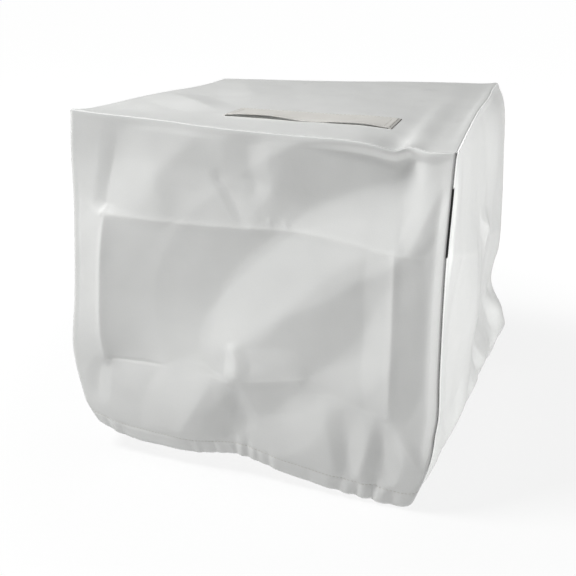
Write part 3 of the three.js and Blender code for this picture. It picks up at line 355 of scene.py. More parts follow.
# A smooth curve through one column of a table, whose first column is the place.
def readTable(rows, column, place):
    keys = np.array([row[0] for row in rows], float)
    values = np.array([row[column] for row in rows], float)
    after = np.minimum(np.arange(len(keys)) + 1, len(keys) - 1)
    before = np.maximum(np.arange(len(keys)) - 1, 0)
    slopes = (values[after] - values[before]) / (keys[after] - keys[before])
    i = np.clip(np.searchsorted(keys, place) - 1, 0, len(keys) - 2)
    span = keys[i + 1] - keys[i]
    t = np.clip((place - keys[i]) / span, 0, 1)
    h = t * t * (3 - 2 * t)
    bend = slopes[i] * t * (1 - t) ** 2 - slopes[i + 1] * t * t * (1 - t)
    return values[i] * (1 - h) + values[i + 1] * h + span * bend


def seamPoint(name, level):
    corner = corners[name]
    level = np.asarray(level, float)
    down = level / box["drop"]
    x = corner["side"] * (box["width"] / 2 + readTable(corner["rows"], 1, level))
    y = corner["end"] * (box["depth"] / 2 + readTable(corner["rows"], 2, level))
    fade = cloth["edgeFade"]
    z = -level + corner["rise"] * (1 - down) ** fade + corner["lift"] * down ** fade
    return np.stack([x, y, z], -1)


# A point of the top's edge or the hem's edge, at a share of the way along a wall.
def edgePoint(name, tables, level, share):
    wall = walls[name]
    start, end = seamPoint(wall["from"], level), seamPoint(wall["to"], level)
    lengthways, outward = (1, 0) if wall["out"][0] else (0, 1)
    half = (box["width"] if wall["out"][0] else box["depth"]) / 2
    sign = wall["out"][0] or wall["out"][1]
    ends = [(p[lengthways], p[2] + level, sign * p[outward] - half) for p in (start, end)]
    rows = sorted([*tables[name], *ends])
    place = start[lengthways] + (end[lengthways] - start[lengthways]) * share
    stand = sign * (half + readTable(rows, 2, place))
    height = readTable(rows, 1, place) - level
    return np.stack([stand, place, height] if wall["out"][0] else [place, stand, height], -1)


# A smooth line through the rows of a fold's path.
def smoothPath(path):
    points = np.array(path, float)
    padded = np.vstack([2 * points[0] - points[1], points, 2 * points[-1] - points[-2]])
    out = []
    for i in range(1, len(padded) - 2):
        p0, p1, p2, p3 = padded[i - 1:i + 3]
        for t in np.arange(foldShape["pathSteps"]) / foldShape["pathSteps"]:
            out.append(0.5 * (2 * p1 + (p2 - p0) * t + (2 * p0 - 5 * p1 + 4 * p2 - p3) * t ** 2
                              + (3 * p1 - p0 - 3 * p2 + p3) * t ** 3))
    return np.vstack([*out, points[-1]])


# How far one fold moves the cloth out, at places across and down it.
def foldLift(fold, across, down):
    hollow, rounding, path = fold
    line = smoothPath(path)
    nearest = np.full(across.shape, 1e9)
    side = np.zeros(across.shape)
    pull = np.full(across.shape, 1e-30)
    sums = [np.zeros(across.shape) for each in range(3)]
    for start, end in zip(line[:-1], line[1:]):
        da, dd = end[0] - start[0], end[1] - start[1]
        length = math.hypot(da, dd)
        t = np.clip(((across - start[0]) * da + (down - start[1]) * dd) / length ** 2, 0, 1)
        distance = np.hypot(across - start[0] - t * da, down - start[1] - t * dd)
        offLine = (da * (down - start[1]) - dd * (across - start[0])) / length
        closer = distance < nearest
        nearest = np.where(closer, distance, nearest)
        side = np.where(closer, offLine, side)
        # Near places on the path count for much and far ones for little, so the height changes softly.
        weight = length / (distance + foldShape["blur"]) ** foldShape["blend"]
        pull += weight
        for number in range(3):
            sums[number] += weight * (start[2 + number] + (end[2 + number] - start[2 + number]) * t)
    out, right, left = (total / pull for total in sums)
    lean = 0.5 + 0.5 * side / (nearest + foldShape["sideBlur"])
    reach = right + (left - right) * lean
    crest = np.sqrt(nearest ** 2 + rounding ** 2) - rounding
    rest = 1 - crest / reach
    if hollow == 0:
        return out * smoothstep(rest, 0, 1)
    foot = foldShape["foot"] * rounding / reach
    nearness = np.clip(0.5 * (rest + np.sqrt(rest ** 2 + foot ** 2)), 0, 1)
    tail = np.clip(1 + rest / foldShape["tail"], 0, 1) ** 2
    return out * np.where(rest < 0, nearness * tail, nearness) ** hollow


# How much a place lies on a sharp crease, for the cloth's material. The right wall later sets its painted
# seam shadow into these values.
def creaseWearAndSeamShade(folds, across, down):
    wearAndShade = np.zeros(across.shape)
    reach = wearShape["reach"]
    for hollow, rounding, path in folds:
        if 0 < rounding <= wearShape["roundest"]:
            heights = [min(1, abs(row[2]) / wearShape["fullFrom"]) for row in path]
            line = [(*row[:2], height, reach, reach) for row, height in zip(path, heights)]
            wearAndShade = np.maximum(wearAndShade, foldLift((1, wearShape["rounding"], line), across, down))
    return wearAndShade


def ripple(across, down, seed):
    return sum(height * np.sin(across * fa + down * fd + seed * (i + 1.7))
               for i, (fa, fd, height) in enumerate(rippleWaves))


def seamDip(gap, depth, width):
    return depth * (1 - smoothstep(gap, 0, width))


# How far a wall's gathers push its cloth out, and how far they move its lower edge up or down.
def gatherLift(name, across, toHem, toSeam):
    out, edge = np.zeros(across.shape), np.zeros(across.shape)
    for place, height, halfWidth, up, lean in gathers[name]:
        width = halfWidth * gatherShape["widen"]
        swell = height * bump(across, place + lean * toHem / up, width)
        rising = smoothstep(toHem, -gatherShape["below"], gatherShape["settled"])
        out += swell * rising * (1 - smoothstep(toHem, up * gatherShape["full"], up))
        edge -= swell * gatherShape["edgeShare"]
    edge *= (1 - smoothstep(toHem, 0, gatherShape["edgeUp"])) * smoothstep(toSeam, 0, gatherShape["endCalm"])
    return out, edge


def wallLength(wall):
    return box["width"] if wall["run"][0] else box["depth"]


# The points of a wall's cloth, at shares of its length and levels below the top.
def wallPoints(name, share, level):
    wall = walls[name]
    down = level / box["drop"]
    start, end = seamPoint(wall["from"], level), seamPoint(wall["to"], level)
    point = start + (end - start) * share[..., None]
    for tables, edgeLevel, weight in ((topEdges, 0, (1 - down) ** cloth["edgeFade"]),
                                      (hemEdges, box["drop"], down ** cloth["hemFade"])):
        edgeStart, edgeEnd = seamPoint(wall["from"], edgeLevel), seamPoint(wall["to"], edgeLevel)
        chord = edgeStart + (edgeEnd - edgeStart) * share[..., None]
        point = point + (edgePoint(name, tables, edgeLevel, share) - chord) * weight[..., None]
    out = np.array([*wall["out"], 0.0])
    length = wallLength(wall)
    across = length * share
    toSeam = np.minimum(share, 1 - share) * length
    toHem = box["drop"] - level
    calm = smoothstep(toSeam, 0, cloth["edgeCalm"]) * smoothstep(level, 0, cloth["edgeCalm"])
    hemmed = cloth["hemShare"] + (1 - cloth["hemShare"]) * smoothstep(toHem, 0, cloth["hemCalm"])
    lift = sum(foldLift(fold, across, level) for fold in wall["folds"]) * calm * hemmed
    swell = np.where(level < skirt["fullest"], smoothstep(level, skirt["from"], skirt["fullest"]),
                     smoothstep(toHem, 0, box["drop"] - skirt["fullest"]))
    lift = lift + skirt["out"][name] * swell * np.sin(np.pi * share)
    lift = lift + ripple(across, level, 1 + list(walls).index(name)) * calm

    gathered, edgeLift = gatherLift(name, across, toHem, toSeam)
    point[..., 2] += edgeLift
    casing = smoothstep(toHem, 0, hem["edge"])
    casing = casing * (1 - smoothstep(toHem, hem["height"] - hem["foot"], hem["height"]))
    stitchDip = bump(toHem, hem["height"], hem["dipWidth"])
    lift = lift + gathered + hem["puff"] * casing - hem["stitchDip"] * stitchDip
    sideLip = bump(toSeam, seam["lipAt"], seam["lipWidth"])
    sideLip = sideLip * smoothstep(level, seam["lipFrom"], seam["lipFull"])
    topLip = bump(level, seam["lipAt"], seam["lipWidth"])
    lift = lift + seam["lipOut"] * sideLip + seam["topLip"] * topLip
    point = point + out * lift[..., None]

    for corner, gap in ((wall["from"], share * length), (wall["to"], (1 - share) * length)):
        inward = -np.array([corners[corner]["side"], corners[corner]["end"], 0]) / math.sqrt(2)
        width = seam["grooveWidth"] * (seam["sideShare"] if wall["out"][0] else 1)
        depth = seam["grooveDepth"] if corner == "frontRight" else seam["plainDepth"]
        point = point + inward * seamDip(gap, depth, width)[..., None]
    height = cloth["thickness"] * seam["coverHeight"][name]
    point = point + (out + [0, 0, 1]) * seamDip(level, height, seam["cover"])[..., None]

    wearAndShade = creaseWearAndSeamShade(wall["folds"], across, level)
    if name == "right":
        # Values below 0 are painted shadow: they darken the cloth's colour in the seam's shadow line.
        dark = shadow["width"] * (shadow["least"] + bump(level, shadow["widestAt"], shadow["reach"]))
        wearAndShade = np.where(across < dark, -1, wearAndShade)
    return point, across, level, wearAndShade


# The points of the top's cloth, at shares of its width and depth.
def topPoints(east, north):
    west, south = 1 - east, 1 - north
    frontLeft, frontRight = seamPoint("frontLeft", 0), seamPoint("frontRight", 0)
    backLeft, backRight = seamPoint("backLeft", 0), seamPoint("backRight", 0)
    frontChord = frontLeft + (frontRight - frontLeft) * east[..., None]
    backChord = backLeft + (backRight - backLeft) * east[..., None]
    leftChord = frontLeft + (backLeft - frontLeft) * north[..., None]
    rightChord = frontRight + (backRight - frontRight) * north[..., None]
    point = frontChord + (backChord - frontChord) * north[..., None]
    fade = cloth["edgeFade"]
    for edge, chord, weight in (
            (edgePoint("front", topEdges, 0, east), frontChord, south ** fade),
            (edgePoint("back", topEdges, 0, west), backChord, north ** fade),
            (edgePoint("left", topEdges, 0, south), leftChord, west ** fade),
            (edgePoint("right", topEdges, 0, north), rightChord, east ** fade)):
        point = point + (edge - chord) * weight[..., None]
    fall = west * south * (1 - west ** fade) * (1 - south ** fade)
    point[..., 2] -= cloth["cornerFall"] * corners["frontLeft"]["rise"] * fall
    across, down = point[..., 0] + box["width"] / 2, box["depth"] / 2 - point[..., 1]
    gaps = [west * box["width"], east * box["width"], north * box["depth"], south * box["depth"]]
    toEdge = np.minimum.reduce(gaps)
    lift = sum(foldLift(fold, across, down) for fold in topFolds) + ripple(across, down, 9)
    point[..., 2] += lift * smoothstep(toEdge, 0, cloth["edgeCalm"])
    point[..., 2] += seam["topLip"] * bump(toEdge, seam["lipAt"], seam["lipWidth"])
    for gap, outward in zip(gaps, ((1, 0, 1), (-1, 0, 1), (0, 1, 1), (0, -1, 1))):
        inward = -np.array(outward, float) / math.sqrt(2)
        point = point + inward * seamDip(gap, seam["topDepth"], seam["topGroove"])[..., None]
    return point, across, down, creaseWearAndSeamShade(topFolds, across, down)


# Places along a length, as shares of it, from spans of (to, step).
def stations(length, spans):
    places = [0.0]
    for to, step in spans:
        count = max(1, round((to - places[-1]) / step))
        places += list(np.linspace(places[-1], to, count + 1)[1:])
    return np.array(places) / length


# A grid whose columns and rows stand at the given places; gives each corner's column and row.
def addGrid(name, columns, rows):
    bpy.ops.object.select_all(action="DESELECT")
    bpy.ops.mesh.primitive_grid_add(x_subdivisions=len(columns) - 1, y_subdivisions=len(rows) - 1, size=1)
    piece = bpy.context.object
    piece.name = piece.data.name = name
    corner = np.zeros(len(piece.data.vertices) * 3)
    piece.data.vertices.foreach_get("co", corner)
    corner = corner.reshape(-1, 3)
    i = np.round((corner[:, 0] + 0.5) * (len(columns) - 1)).astype(int)
    j = np.round((corner[:, 1] + 0.5) * (len(rows) - 1)).astype(int)
    return piece, columns[i], rows[j]


# Moves a grid's corners to their points, and gives it a UV map in metres and its crease wear, with the
# right wall's painted seam shadow.
def shapeGrid(piece, points, across, down, wearAndShade):
    mesh = piece.data
    mesh.vertices.foreach_set("co", (points * mm).ravel())
    loops = np.zeros(len(mesh.loops), int)
    mesh.loops.foreach_get("vertex_index", loops)
    uv = np.stack([across, -down], -1)[loops] * mm
    layer = mesh.uv_layers.active or mesh.uv_layers.new(name="UVMap")
    layer.data.foreach_set("uv", uv.ravel())
    attribute = mesh.attributes.new("creaseWearAndSeamShade", "FLOAT", "POINT")
    attribute.data.foreach_set("value", wearAndShade)
    mesh.update()
    bpy.ops.object.shade_smooth()


def thicken(piece, thickness):
    faces = len(piece.data.polygons)
    modifier = piece.modifiers.new("Solidify", "SOLIDIFY")
    modifier.thickness = thickness * mm
    modifier.offset = 0
    modifier.use_even_offset = True
    bpy.context.view_layer.objects.active = piece
    bpy.ops.object.modifier_apply(modifier="Solidify")
    # The cut edges are flat, so that they don't shade the cloth beside them.
    smooth = np.arange(len(piece.data.polygons)) < 2 * faces
    piece.data.polygons.foreach_set("use_smooth", smooth)
    piece.data.update()


# Makes one sheet: its grid, its shape and its thickness. Its area is taken before it is thick.
def makeSheet(name, columns, rows, pointsAt, thickness):
    piece, u, v = addGrid(name, columns, rows)
    shapeGrid(piece, *pointsAt(u, v))
    area = sum(face.area for face in piece.data.polygons)
    thicken(piece, thickness)
    print(name, "made, flat area", round(area, 5), "faces", len(piece.data.polygons))
    return piece, area


# Spans of (to, step): the grids are finer at the sewn edges, and on the front also at its packing creases.
edgeBand, edgeStep, plainStep, hemBand, hemStep = 12, 1.2, 2.6, 372, 1.6
frontColumns = [(12, 1.2), (32, 2.6), (60, 1.4), (376, 2.6), (400, 1.4), (428, 2.6), (440, 1.2)]
frontLevels = [(14, 1.2), (98, 2.6), (122, 1.3), (284, 2.6), (316, 1.3), (372, 2.6), (415, 1.6)]
plainLevels = [(10, edgeStep), (hemBand, plainStep), (box["drop"], hemStep)]


def evenSpans(length):
    return [(edgeBand, edgeStep), (length - edgeBand, plainStep), (length, edgeStep)]


panels, areas = {}, {}
for name, wall in walls.items():
    columns = stations(wallLength(wall), frontColumns if name == "front" else evenSpans(wallLength(wall)))
    levels = stations(1, frontLevels if name == "front" else plainLevels)[::-1]
    wallAt = lambda share, level: wallPoints(name, share, level)
    panels[name], areas[name] = makeSheet(name + "_cloth", columns, levels, wallAt, cloth["thickness"])

columns, rows = (stations(length, evenSpans(length)) for length in (box["width"], box["depth"]))
panels["top"], areas["top"] = makeSheet("top_cloth", columns, rows, topPoints, cloth["thickness"])

# The slot is cut through the top's cloth. Each of its round ends takes this share of its width.
slot = {"x": 32, "y": -129, "length": 188, "width": 13, "height": 30, "round": 0.49, "segments": 8}
bpy.ops.object.select_all(action="DESELECT")
bpy.ops.mesh.primitive_cube_add(size=1, location=(slot["x"] * mm, slot["y"] * mm, 0))
cutter = bpy.context.object
cutter.scale = (slot["length"] * mm, slot["width"] * mm, slot["height"] * mm)
bpy.ops.object.transform_apply(location=True, rotation=False, scale=True)
bpy.ops.object.mode_set(mode="EDIT")
bpy.ops.mesh.select_all(action="DESELECT")
bpy.ops.object.mode_set(mode="OBJECT")
for edge in cutter.data.edges:
    a, b = (cutter.data.vertices[v].co for v in edge.vertices)
    edge.select = abs(a.z - b.z) > slot["height"] * mm / 2
bpy.ops.object.mode_set(mode="EDIT")
bpy.ops.mesh.select_mode(type="EDGE")
bpy.ops.mesh.bevel(offset=slot["width"] * mm * slot["round"], segments=slot["segments"])
bpy.ops.object.mode_set(mode="OBJECT")
cut = panels["top"].modifiers.new("Boolean", "BOOLEAN")
cut.object = cutter
cut.operation = "DIFFERENCE"
cut.solver = "EXACT"
bpy.context.view_layer.objects.active = panels["top"]
bpy.ops.object.modifier_apply(modifier="Boolean")
bpy.data.objects.remove(cutter)
print("slot cut, top faces", len(panels["top"].data.polygons))

# The flap lies on the top's cloth, its sewn edges are pressed down on to it, and its free front edge stands
# up in two waves: place along the slot, height.
flap = {"left": -66, "right": 137, "front": -141, "back": -82, "thickness": 1, "clearance": 0.35,
        "curl": 1.6, "pad": 0.15, "padAt": 4, "pressed": 1.1, "pressedWidth": 5, "step": 1.5}
flapWave = [(-66, 0), (-58, 1.2), (-40, 2.9), (-8, 3.3), (12, 2), (28, 0.3), (40, -0.2), (58, 0), (70, 0.8),
            (90, 1.5), (110, 1.4), (128, 0.4), (137, 0)]


def flapPoints(x, y):
    east, north = (x + box["width"] / 2) / box["width"], (y + box["depth"] / 2) / box["depth"]
    top, across, down, wearAndShade = topPoints(east, north)
    toBack = flap["back"] - y
    toEnd = np.minimum(x - flap["left"], flap["right"] - x)
    wave = readTable(flapWave, 1, x) * (toBack / (flap["back"] - flap["front"])) ** flap["curl"]
    pad = flap["pad"] * sum(bump(gap, flap["padAt"], flap["padAt"]) for gap in (toEnd, toBack))
    pressed = seamDip(np.minimum(toEnd, toBack), flap["pressed"], flap["pressedWidth"])
    rest = (cloth["thickness"] + flap["thickness"]) / 2 + flap["clearance"]
    return np.stack([x, y, top[..., 2] + rest + wave + pad - pressed], -1), across, down, wearAndShade * 0


columns = stations(1, [(flap["right"] - flap["left"], flap["step"])]) + flap["left"]
rows = stations(1, [(flap["back"] - flap["front"], flap["step"])]) + flap["front"]
flapPiece, areas["flap"] = makeSheet("flap_cloth", columns, rows, flapPoints, flap["thickness"])

# One stitch is modelled, then laid along each sewn line.
stitch = {"length": 3.4, "pitch": 4.6, "width": 0.6, "height": 0.45, "lift": 0.12, "segments": 8, "rings": 6}
bpy.ops.object.select_all(action="DESELECT")
bpy.ops.mesh.primitive_uv_sphere_add(segments=stitch["segments"], ring_count=stitch["rings"], radius=0.5,
                                     rotation=(0, math.pi / 2, 0))
oneStitch = bpy.context.object
bpy.ops.object.transform_apply(location=True, rotation=True, scale=True)
stitchCorners = np.array([v.co for v in oneStitch.data.vertices])
stitchCorners = stitchCorners * [stitch["length"], stitch["width"], stitch["height"]]
stitchFaces = [tuple(p.vertices) for p in oneStitch.data.polygons]
bpy.data.objects.remove(oneStitch)


# Lays stitches along a line of points, in millimetres, standing on the cloth.
def sewLine(line, normals):
    steps = np.linalg.norm(np.diff(line, axis=0), axis=1)
    run = np.concatenate([[0], np.cumsum(steps)])
    places = (np.arange(int(run[-1] / stitch["pitch"])) + 0.5) * stitch["pitch"]
    at, ahead, up = (np.stack([np.interp(where, run, values[:, k]) for k in range(3)], -1)
                     for where, values in ((places, line), (places + 1, line), (places, normals)))
    verts, faces = [], []
    for p, q, n in zip(at, ahead, up):
        tangent = (q - p) / np.linalg.norm(q - p)
        n = n - tangent * (n @ tangent)
        n = n / np.linalg.norm(n)
        turned = stitchCorners @ np.stack([tangent, np.cross(n, tangent), n])
        faces += [tuple(v + len(verts) for v in face) for face in stitchFaces]
        verts += list((p + n * stitch["lift"] + turned) * mm)
    return verts, faces


def surfaceNormals(pointAt, u, v, du, dv):
    a = pointAt(u + du, v) - pointAt(u - du, v)
    b = pointAt(u, v + dv) - pointAt(u, v - dv)
    n = np.cross(a, b)
    return n / np.linalg.norm(n, axis=-1, keepdims=True)


def makeStitches(name, lines):
    verts, faces = [], []
    for line, normals in lines:
        moreVerts, moreFaces = sewLine(line, normals)
        faces += [tuple(v + len(verts) for v in face) for face in moreFaces]
        verts += moreVerts
    mesh = bpy.data.meshes.new(name)
    mesh.from_pydata([tuple(v) for v in verts], [], faces)
    mesh.update()
    piece = bpy.data.objects.new(name, mesh)
    bpy.context.scene.collection.objects.link(piece)
    bpy.ops.object.select_all(action="DESELECT")
    piece.select_set(True)
    bpy.context.view_layer.objects.active = piece
    bpy.ops.object.shade_smooth()
    return piece


# The hem's stitches run at the top of its casing, between these shares of the wall's length.
hemSewing = {"from": 0.012, "to": 0.988, "points": 260, "shareStep": 0.004, "levelStep": 1.5}
stitching = {}
for name in walls:
    wallAt = lambda share, level: wallPoints(name, share, level)[0]
    share = np.linspace(hemSewing["from"], hemSewing["to"], hemSewing["points"])
    level = np.full(share.shape, box["drop"] - hem["height"], float)
    normals = -surfaceNormals(wallAt, share, level, hemSewing["shareStep"], hemSewing["levelStep"])
    line = wallAt(share, level) + normals * cloth["thickness"] / 2
    stitching[name] = makeStitches(name + "_hem_stitches", [(line, normals)])

# The flap's stitches run in two lines up each end, and in one line along the back.
flapSewing = {"outer": 3.5, "inner": 9.5, "fromFront": 4, "points": 90, "step": 0.8}
flapAt = lambda x, y: flapPoints(x, y)[0]
sewnLines = []
for inset in (flapSewing["outer"], flapSewing["inner"]):
    left, right, back = flap["left"] + inset, flap["right"] - inset, flap["back"] - inset
    front = flap["front"] + flapSewing["fromFront"]
    runs = [((left, front), (left, back)), ((right, front), (right, back))]
    if inset == flapSewing["outer"]:
        runs.append(((left, back), (right, back)))
    for (x0, y0), (x1, y1) in runs:
        t = np.linspace(0, 1, flapSewing["points"])
        x, y = x0 + (x1 - x0) * t, y0 + (y1 - y0) * t
        normals = surfaceNormals(flapAt, x, y, flapSewing["step"], flapSewing["step"])
        sewnLines.append((flapAt(x, y) + normals * flap["thickness"] / 2, normals))
stitching["flap"] = makeStitches("flap_stitches", sewnLines)
print("stitches laid")


def addNode(tree, kind, **values):
    node = tree.nodes.new(kind)
    for key, value in values.items():
        setattr(node, key, value)
    return node


# The fine weave that shows through the coating: its height and a faint change of shade.
fleckLook = {"scale": 900, "detail": 2}


def makeWeaveGroup():
    tree = bpy.data.node_groups.new("clothWeave", "ShaderNodeTree")
    tree.interface.new_socket("Thread size", in_out="INPUT", socket_type="NodeSocketFloat")
    tree.interface.new_socket("Height", in_out="OUTPUT", socket_type="NodeSocketFloat")
    tree.interface.new_socket("Fleck", in_out="OUTPUT", socket_type="NodeSocketFloat")
    groupIn = tree.nodes.new("NodeGroupInput")
    groupOut = tree.nodes.new("NodeGroupOutput")
    uv = addNode(tree, "ShaderNodeUVMap", uv_map="UVMap")
    split = tree.nodes.new("ShaderNodeSeparateXYZ")
    tree.links.new(uv.outputs[0], split.inputs[0])
    waves = []
    for axis in (0, 1):
        turns = addNode(tree, "ShaderNodeMath", operation="DIVIDE")
        tree.links.new(split.outputs[axis], turns.inputs[0])
        tree.links.new(groupIn.outputs["Thread size"], turns.inputs[1])
        angle = addNode(tree, "ShaderNodeMath", operation="MULTIPLY")
        angle.inputs[1].default_value = math.pi
        tree.links.new(turns.outputs[0], angle.inputs[0])
        wave = addNode(tree, "ShaderNodeMath", operation="SINE")
        tree.links.new(angle.outputs[0], wave.inputs[0])
        waves.append(wave)
    cross = addNode(tree, "ShaderNodeMath", operation="MULTIPLY")
    tree.links.new(waves[0].outputs[0], cross.inputs[0])
    tree.links.new(waves[1].outputs[0], cross.inputs[1])
    height = addNode(tree, "ShaderNodeMath", operation="ABSOLUTE")
    tree.links.new(cross.outputs[0], height.inputs[0])
    noise = addNode(tree, "ShaderNodeTexNoise", noise_dimensions="3D")
    noise.inputs["Scale"].default_value = fleckLook["scale"]
    noise.inputs["Detail"].default_value = fleckLook["detail"]
    tree.links.new(uv.outputs[0], noise.inputs["Vector"])
    tree.links.new(height.outputs[0], groupOut.inputs["Height"])
    tree.links.new(noise.outputs[0], groupOut.inputs["Fleck"])
    return tree


weaveGroup = makeWeaveGroup()


def makeCloth(name, look):
    material = bpy.data.materials.new(name)
    material.use_nodes = True
    tree = material.node_tree
    shader = tree.nodes["Principled BSDF"]
    shader.inputs["Specular IOR Level"].default_value = look["specular"]
    weave = addNode(tree, "ShaderNodeGroup", node_tree=weaveGroup)
    weave.inputs["Thread size"].default_value = look["thread"]
    uv = addNode(tree, "ShaderNodeUVMap", uv_map="UVMap")
    cloud = addNode(tree, "ShaderNodeTexNoise", noise_dimensions="3D")
    cloud.inputs["Scale"].default_value = look["cloudScale"]
    cloud.inputs["Detail"].default_value = look["cloudDetail"]
    tree.links.new(uv.outputs[0], cloud.inputs["Vector"])
    ramp = tree.nodes.new("ShaderNodeValToRGB")
    for element, place, colour in zip(ramp.color_ramp.elements, look["cloudSpan"], ("dark", "light")):
        element.position = place
        element.color = (*look[colour], 1)
    tree.links.new(cloud.outputs[0], ramp.inputs[0])
    # Crease wear, and below 0 the painted shadow of the right wall's front seam
    wearAndShade = addNode(tree, "ShaderNodeAttribute", attribute_name="creaseWearAndSeamShade")
    share = addNode(tree, "ShaderNodeMath", operation="MULTIPLY")
    share.inputs[1].default_value = look["wearAndShade"]
    tree.links.new(wearAndShade.outputs["Fac"], share.inputs[0])
    worn = addNode(tree, "ShaderNodeMix", data_type="RGBA")
    worn.inputs["B"].default_value = (*look["worn"], 1)
    tree.links.new(share.outputs[0], worn.inputs["Factor"])
    tree.links.new(ramp.outputs[0], worn.inputs["A"])
    # Values below 0 are the seam's painted shadow, turned into painted shade up to 1.
    shade = addNode(tree, "ShaderNodeMath", operation="MULTIPLY", use_clamp=True)
    shade.inputs[1].default_value = -1
    tree.links.new(wearAndShade.outputs["Fac"], shade.inputs[0])
    shaded = addNode(tree, "ShaderNodeMix", data_type="RGBA")
    shaded.inputs["B"].default_value = (*look["shade"], 1)
    tree.links.new(shade.outputs[0], shaded.inputs["Factor"])
    tree.links.new(worn.outputs["Result"], shaded.inputs["A"])
    fleck = addNode(tree, "ShaderNodeMix", data_type="RGBA", blend_type="MULTIPLY")
    fleck.inputs["Factor"].default_value = look["fleck"]
    tree.links.new(shaded.outputs["Result"], fleck.inputs["A"])
    tree.links.new(weave.outputs["Fleck"], fleck.inputs["B"])
    tree.links.new(fleck.outputs["Result"], shader.inputs["Base Color"])
    rough = addNode(tree, "ShaderNodeMapRange")
    rough.inputs["To Min"].default_value = look["smoothest"]
    rough.inputs["To Max"].default_value = look["roughest"]
    tree.links.new(cloud.outputs[0], rough.inputs["Value"])
    tree.links.new(rough.outputs[0], shader.inputs["Roughness"])
    weaveBump = addNode(tree, "ShaderNodeBump")
    weaveBump.inputs["Strength"].default_value = look["weaveStrength"]
    weaveBump.inputs["Distance"].default_value = look["weaveDepth"]
    tree.links.new(weave.outputs["Height"], weaveBump.inputs["Height"])
    cloudBump = addNode(tree, "ShaderNodeBump")
    cloudBump.inputs["Strength"].default_value = look["cloudStrength"]
    cloudBump.inputs["Distance"].default_value = look["cloudDepth"]
    tree.links.new(cloud.outputs[0], cloudBump.inputs["Height"])
    tree.links.new(weaveBump.outputs[0], cloudBump.inputs["Normal"])
    tree.links.new(cloudBump.outputs[0], shader.inputs["Normal"])
    return material


# Sizes in a look are in metres. The wear lightens creases; the shade is the colour of the painted seam
# shadow.
coverLook = {"dark": (0.845, 0.85, 0.84), "light": (0.855, 0.86, 0.85), "worn": (0.9, 0.9, 0.89),
             "wearAndShade": 0.3, "shade": (0.03, 0.03, 0.03), "fleck": 0.06, "smoothest": 0.47, "roughest": 0.59,
             "specular": 0.4, "thread": 0.0007, "weaveStrength": 0.25, "weaveDepth": 0.0001,
             "cloudScale": 34, "cloudDetail": 4, "cloudSpan": (0.3, 0.7), "cloudStrength": 0.03,
             "cloudDepth": 0.001}
flapLook = {**coverLook, "dark": (0.835, 0.825, 0.795), "light": (0.86, 0.85, 0.82)}
coverCloth = makeCloth("coverCloth", coverLook)
flapCloth = makeCloth("flapCloth", flapLook)

threadLook = {"colour": (0.78, 0.76, 0.72), "darker": 0.8, "rough": 0.6, "twist": 2500}


def makeThread():
    material = bpy.data.materials.new("sewingThread")
    material.use_nodes = True
    tree = material.node_tree
    shader = tree.nodes["Principled BSDF"]
    shader.inputs["Roughness"].default_value = threadLook["rough"]
    place = tree.nodes.new("ShaderNodeTexCoord")
    twist = addNode(tree, "ShaderNodeTexNoise")
    twist.inputs["Scale"].default_value = threadLook["twist"]
    tree.links.new(place.outputs["Object"], twist.inputs["Vector"])
    ramp = tree.nodes.new("ShaderNodeValToRGB")
    ramp.color_ramp.elements[0].color = (*[c * threadLook["darker"] for c in threadLook["colour"]], 1)
    ramp.color_ramp.elements[1].color = (*threadLook["colour"], 1)
    tree.links.new(twist.outputs[0], ramp.inputs[0])
    tree.links.new(ramp.outputs[0], shader.inputs["Base Color"])
    return material


sewingThread = makeThread()
print("materials made")

for name, piece in panels.items():
    piece.data.materials.clear()
    piece.data.materials.append(coverCloth)
    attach(piece, "root")
    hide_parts(name + "_panel")
flapPiece.data.materials.clear()
flapPiece.data.materials.append(flapCloth)
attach(flapPiece, "root")
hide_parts("slot_flap")
for name, piece in stitching.items():
    piece.data.materials.append(sewingThread)
    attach(piece, "root")

for name in walls:
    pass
print("pieces placed in the frame")
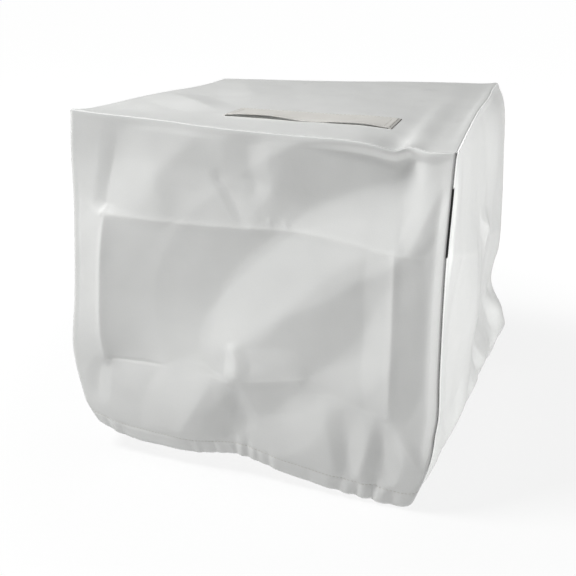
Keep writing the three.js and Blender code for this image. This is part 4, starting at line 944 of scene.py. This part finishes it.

# The floor glows, so that it stays white. Near the cover it glows a little less, which paints a soft shadow
# there beside the faint one the lamps cast.
floorLook = {"size": 40, "level": -0.4475, "colour": (0.08, 0.08, 0.08), "rough": 0.9, "specular": 0.1,
             "nearGlow": 0.9, "farGlow": 0.98, "near": 0.3, "far": 1.1}
bpy.ops.object.select_all(action="DESELECT")
bpy.ops.mesh.primitive_plane_add(size=floorLook["size"], location=(0, 0, floorLook["level"]))
floor = bpy.context.object
floor.name = "studio_floor"
floorMaterial = bpy.data.materials.new("studioFloor")
floorMaterial.use_nodes = True
floorTree = floorMaterial.node_tree
floorShader = floorTree.nodes["Principled BSDF"]
floorShader.inputs["Base Color"].default_value = (*floorLook["colour"], 1)
floorShader.inputs["Roughness"].default_value = floorLook["rough"]
floorShader.inputs["Specular IOR Level"].default_value = floorLook["specular"]
floorShader.inputs["Emission Color"].default_value = (1, 1, 1, 1)
floorPlace = floorTree.nodes.new("ShaderNodeTexCoord")
fromMiddle = addNode(floorTree, "ShaderNodeVectorMath", operation="LENGTH")
floorGlow = addNode(floorTree, "ShaderNodeMapRange", interpolation_type="SMOOTHSTEP")
glowSockets = {"From Min": "near", "From Max": "far", "To Min": "nearGlow", "To Max": "farGlow"}
for socket, value in glowSockets.items():
    floorGlow.inputs[socket].default_value = floorLook[value]
floorTree.links.new(floorPlace.outputs["Object"], fromMiddle.inputs[0])
floorTree.links.new(fromMiddle.outputs["Value"], floorGlow.inputs["Value"])
floorTree.links.new(floorGlow.outputs["Result"], floorShader.inputs["Emission Strength"])
floor.data.materials.append(floorMaterial)

# Square lamps, turned to one place. The side lamp brightens the right wall alone, as a card beside it would.
lampAim = Vector((0, 0, -0.2))
lights = {
    "key": {"at": (-1.34, -0.99, 2.36), "size": 0.9, "power": 90},
    "side": {"at": (1.47, -2.0, 1.47), "size": 1.2, "power": 74},
}
for name, light in lights.items():
    bpy.ops.object.light_add(type="AREA", location=light["at"])
    lamp = bpy.context.object
    lamp.name = name
    lamp.data.shape = "SQUARE"
    lamp.data.size = light["size"]
    lamp.data.energy = light["power"]
    lamp.rotation_euler = (lampAim - Vector(light["at"])).to_track_quat("-Z", "Y").to_euler()
    if name == "side":
        rightSide = bpy.data.collections.new("rightSide")
        for piece in (panels["right"], stitching["right"]):
            rightSide.objects.link(piece)
        lamp.light_linking.receiver_collection = rightSide

surroundings = {"colour": (1, 1, 1), "strength": 0.12, "gamma": 0.7}
world = bpy.data.worlds.new("studio")
bpy.context.scene.world = world
world.use_nodes = True
background = world.node_tree.nodes["Background"]
background.inputs["Color"].default_value = (*surroundings["colour"], 1)
background.inputs["Strength"].default_value = surroundings["strength"]
bpy.context.scene.view_settings.view_transform = "Standard"
bpy.context.scene.view_settings.gamma = surroundings["gamma"]
print("floor, lamps and surroundings set")
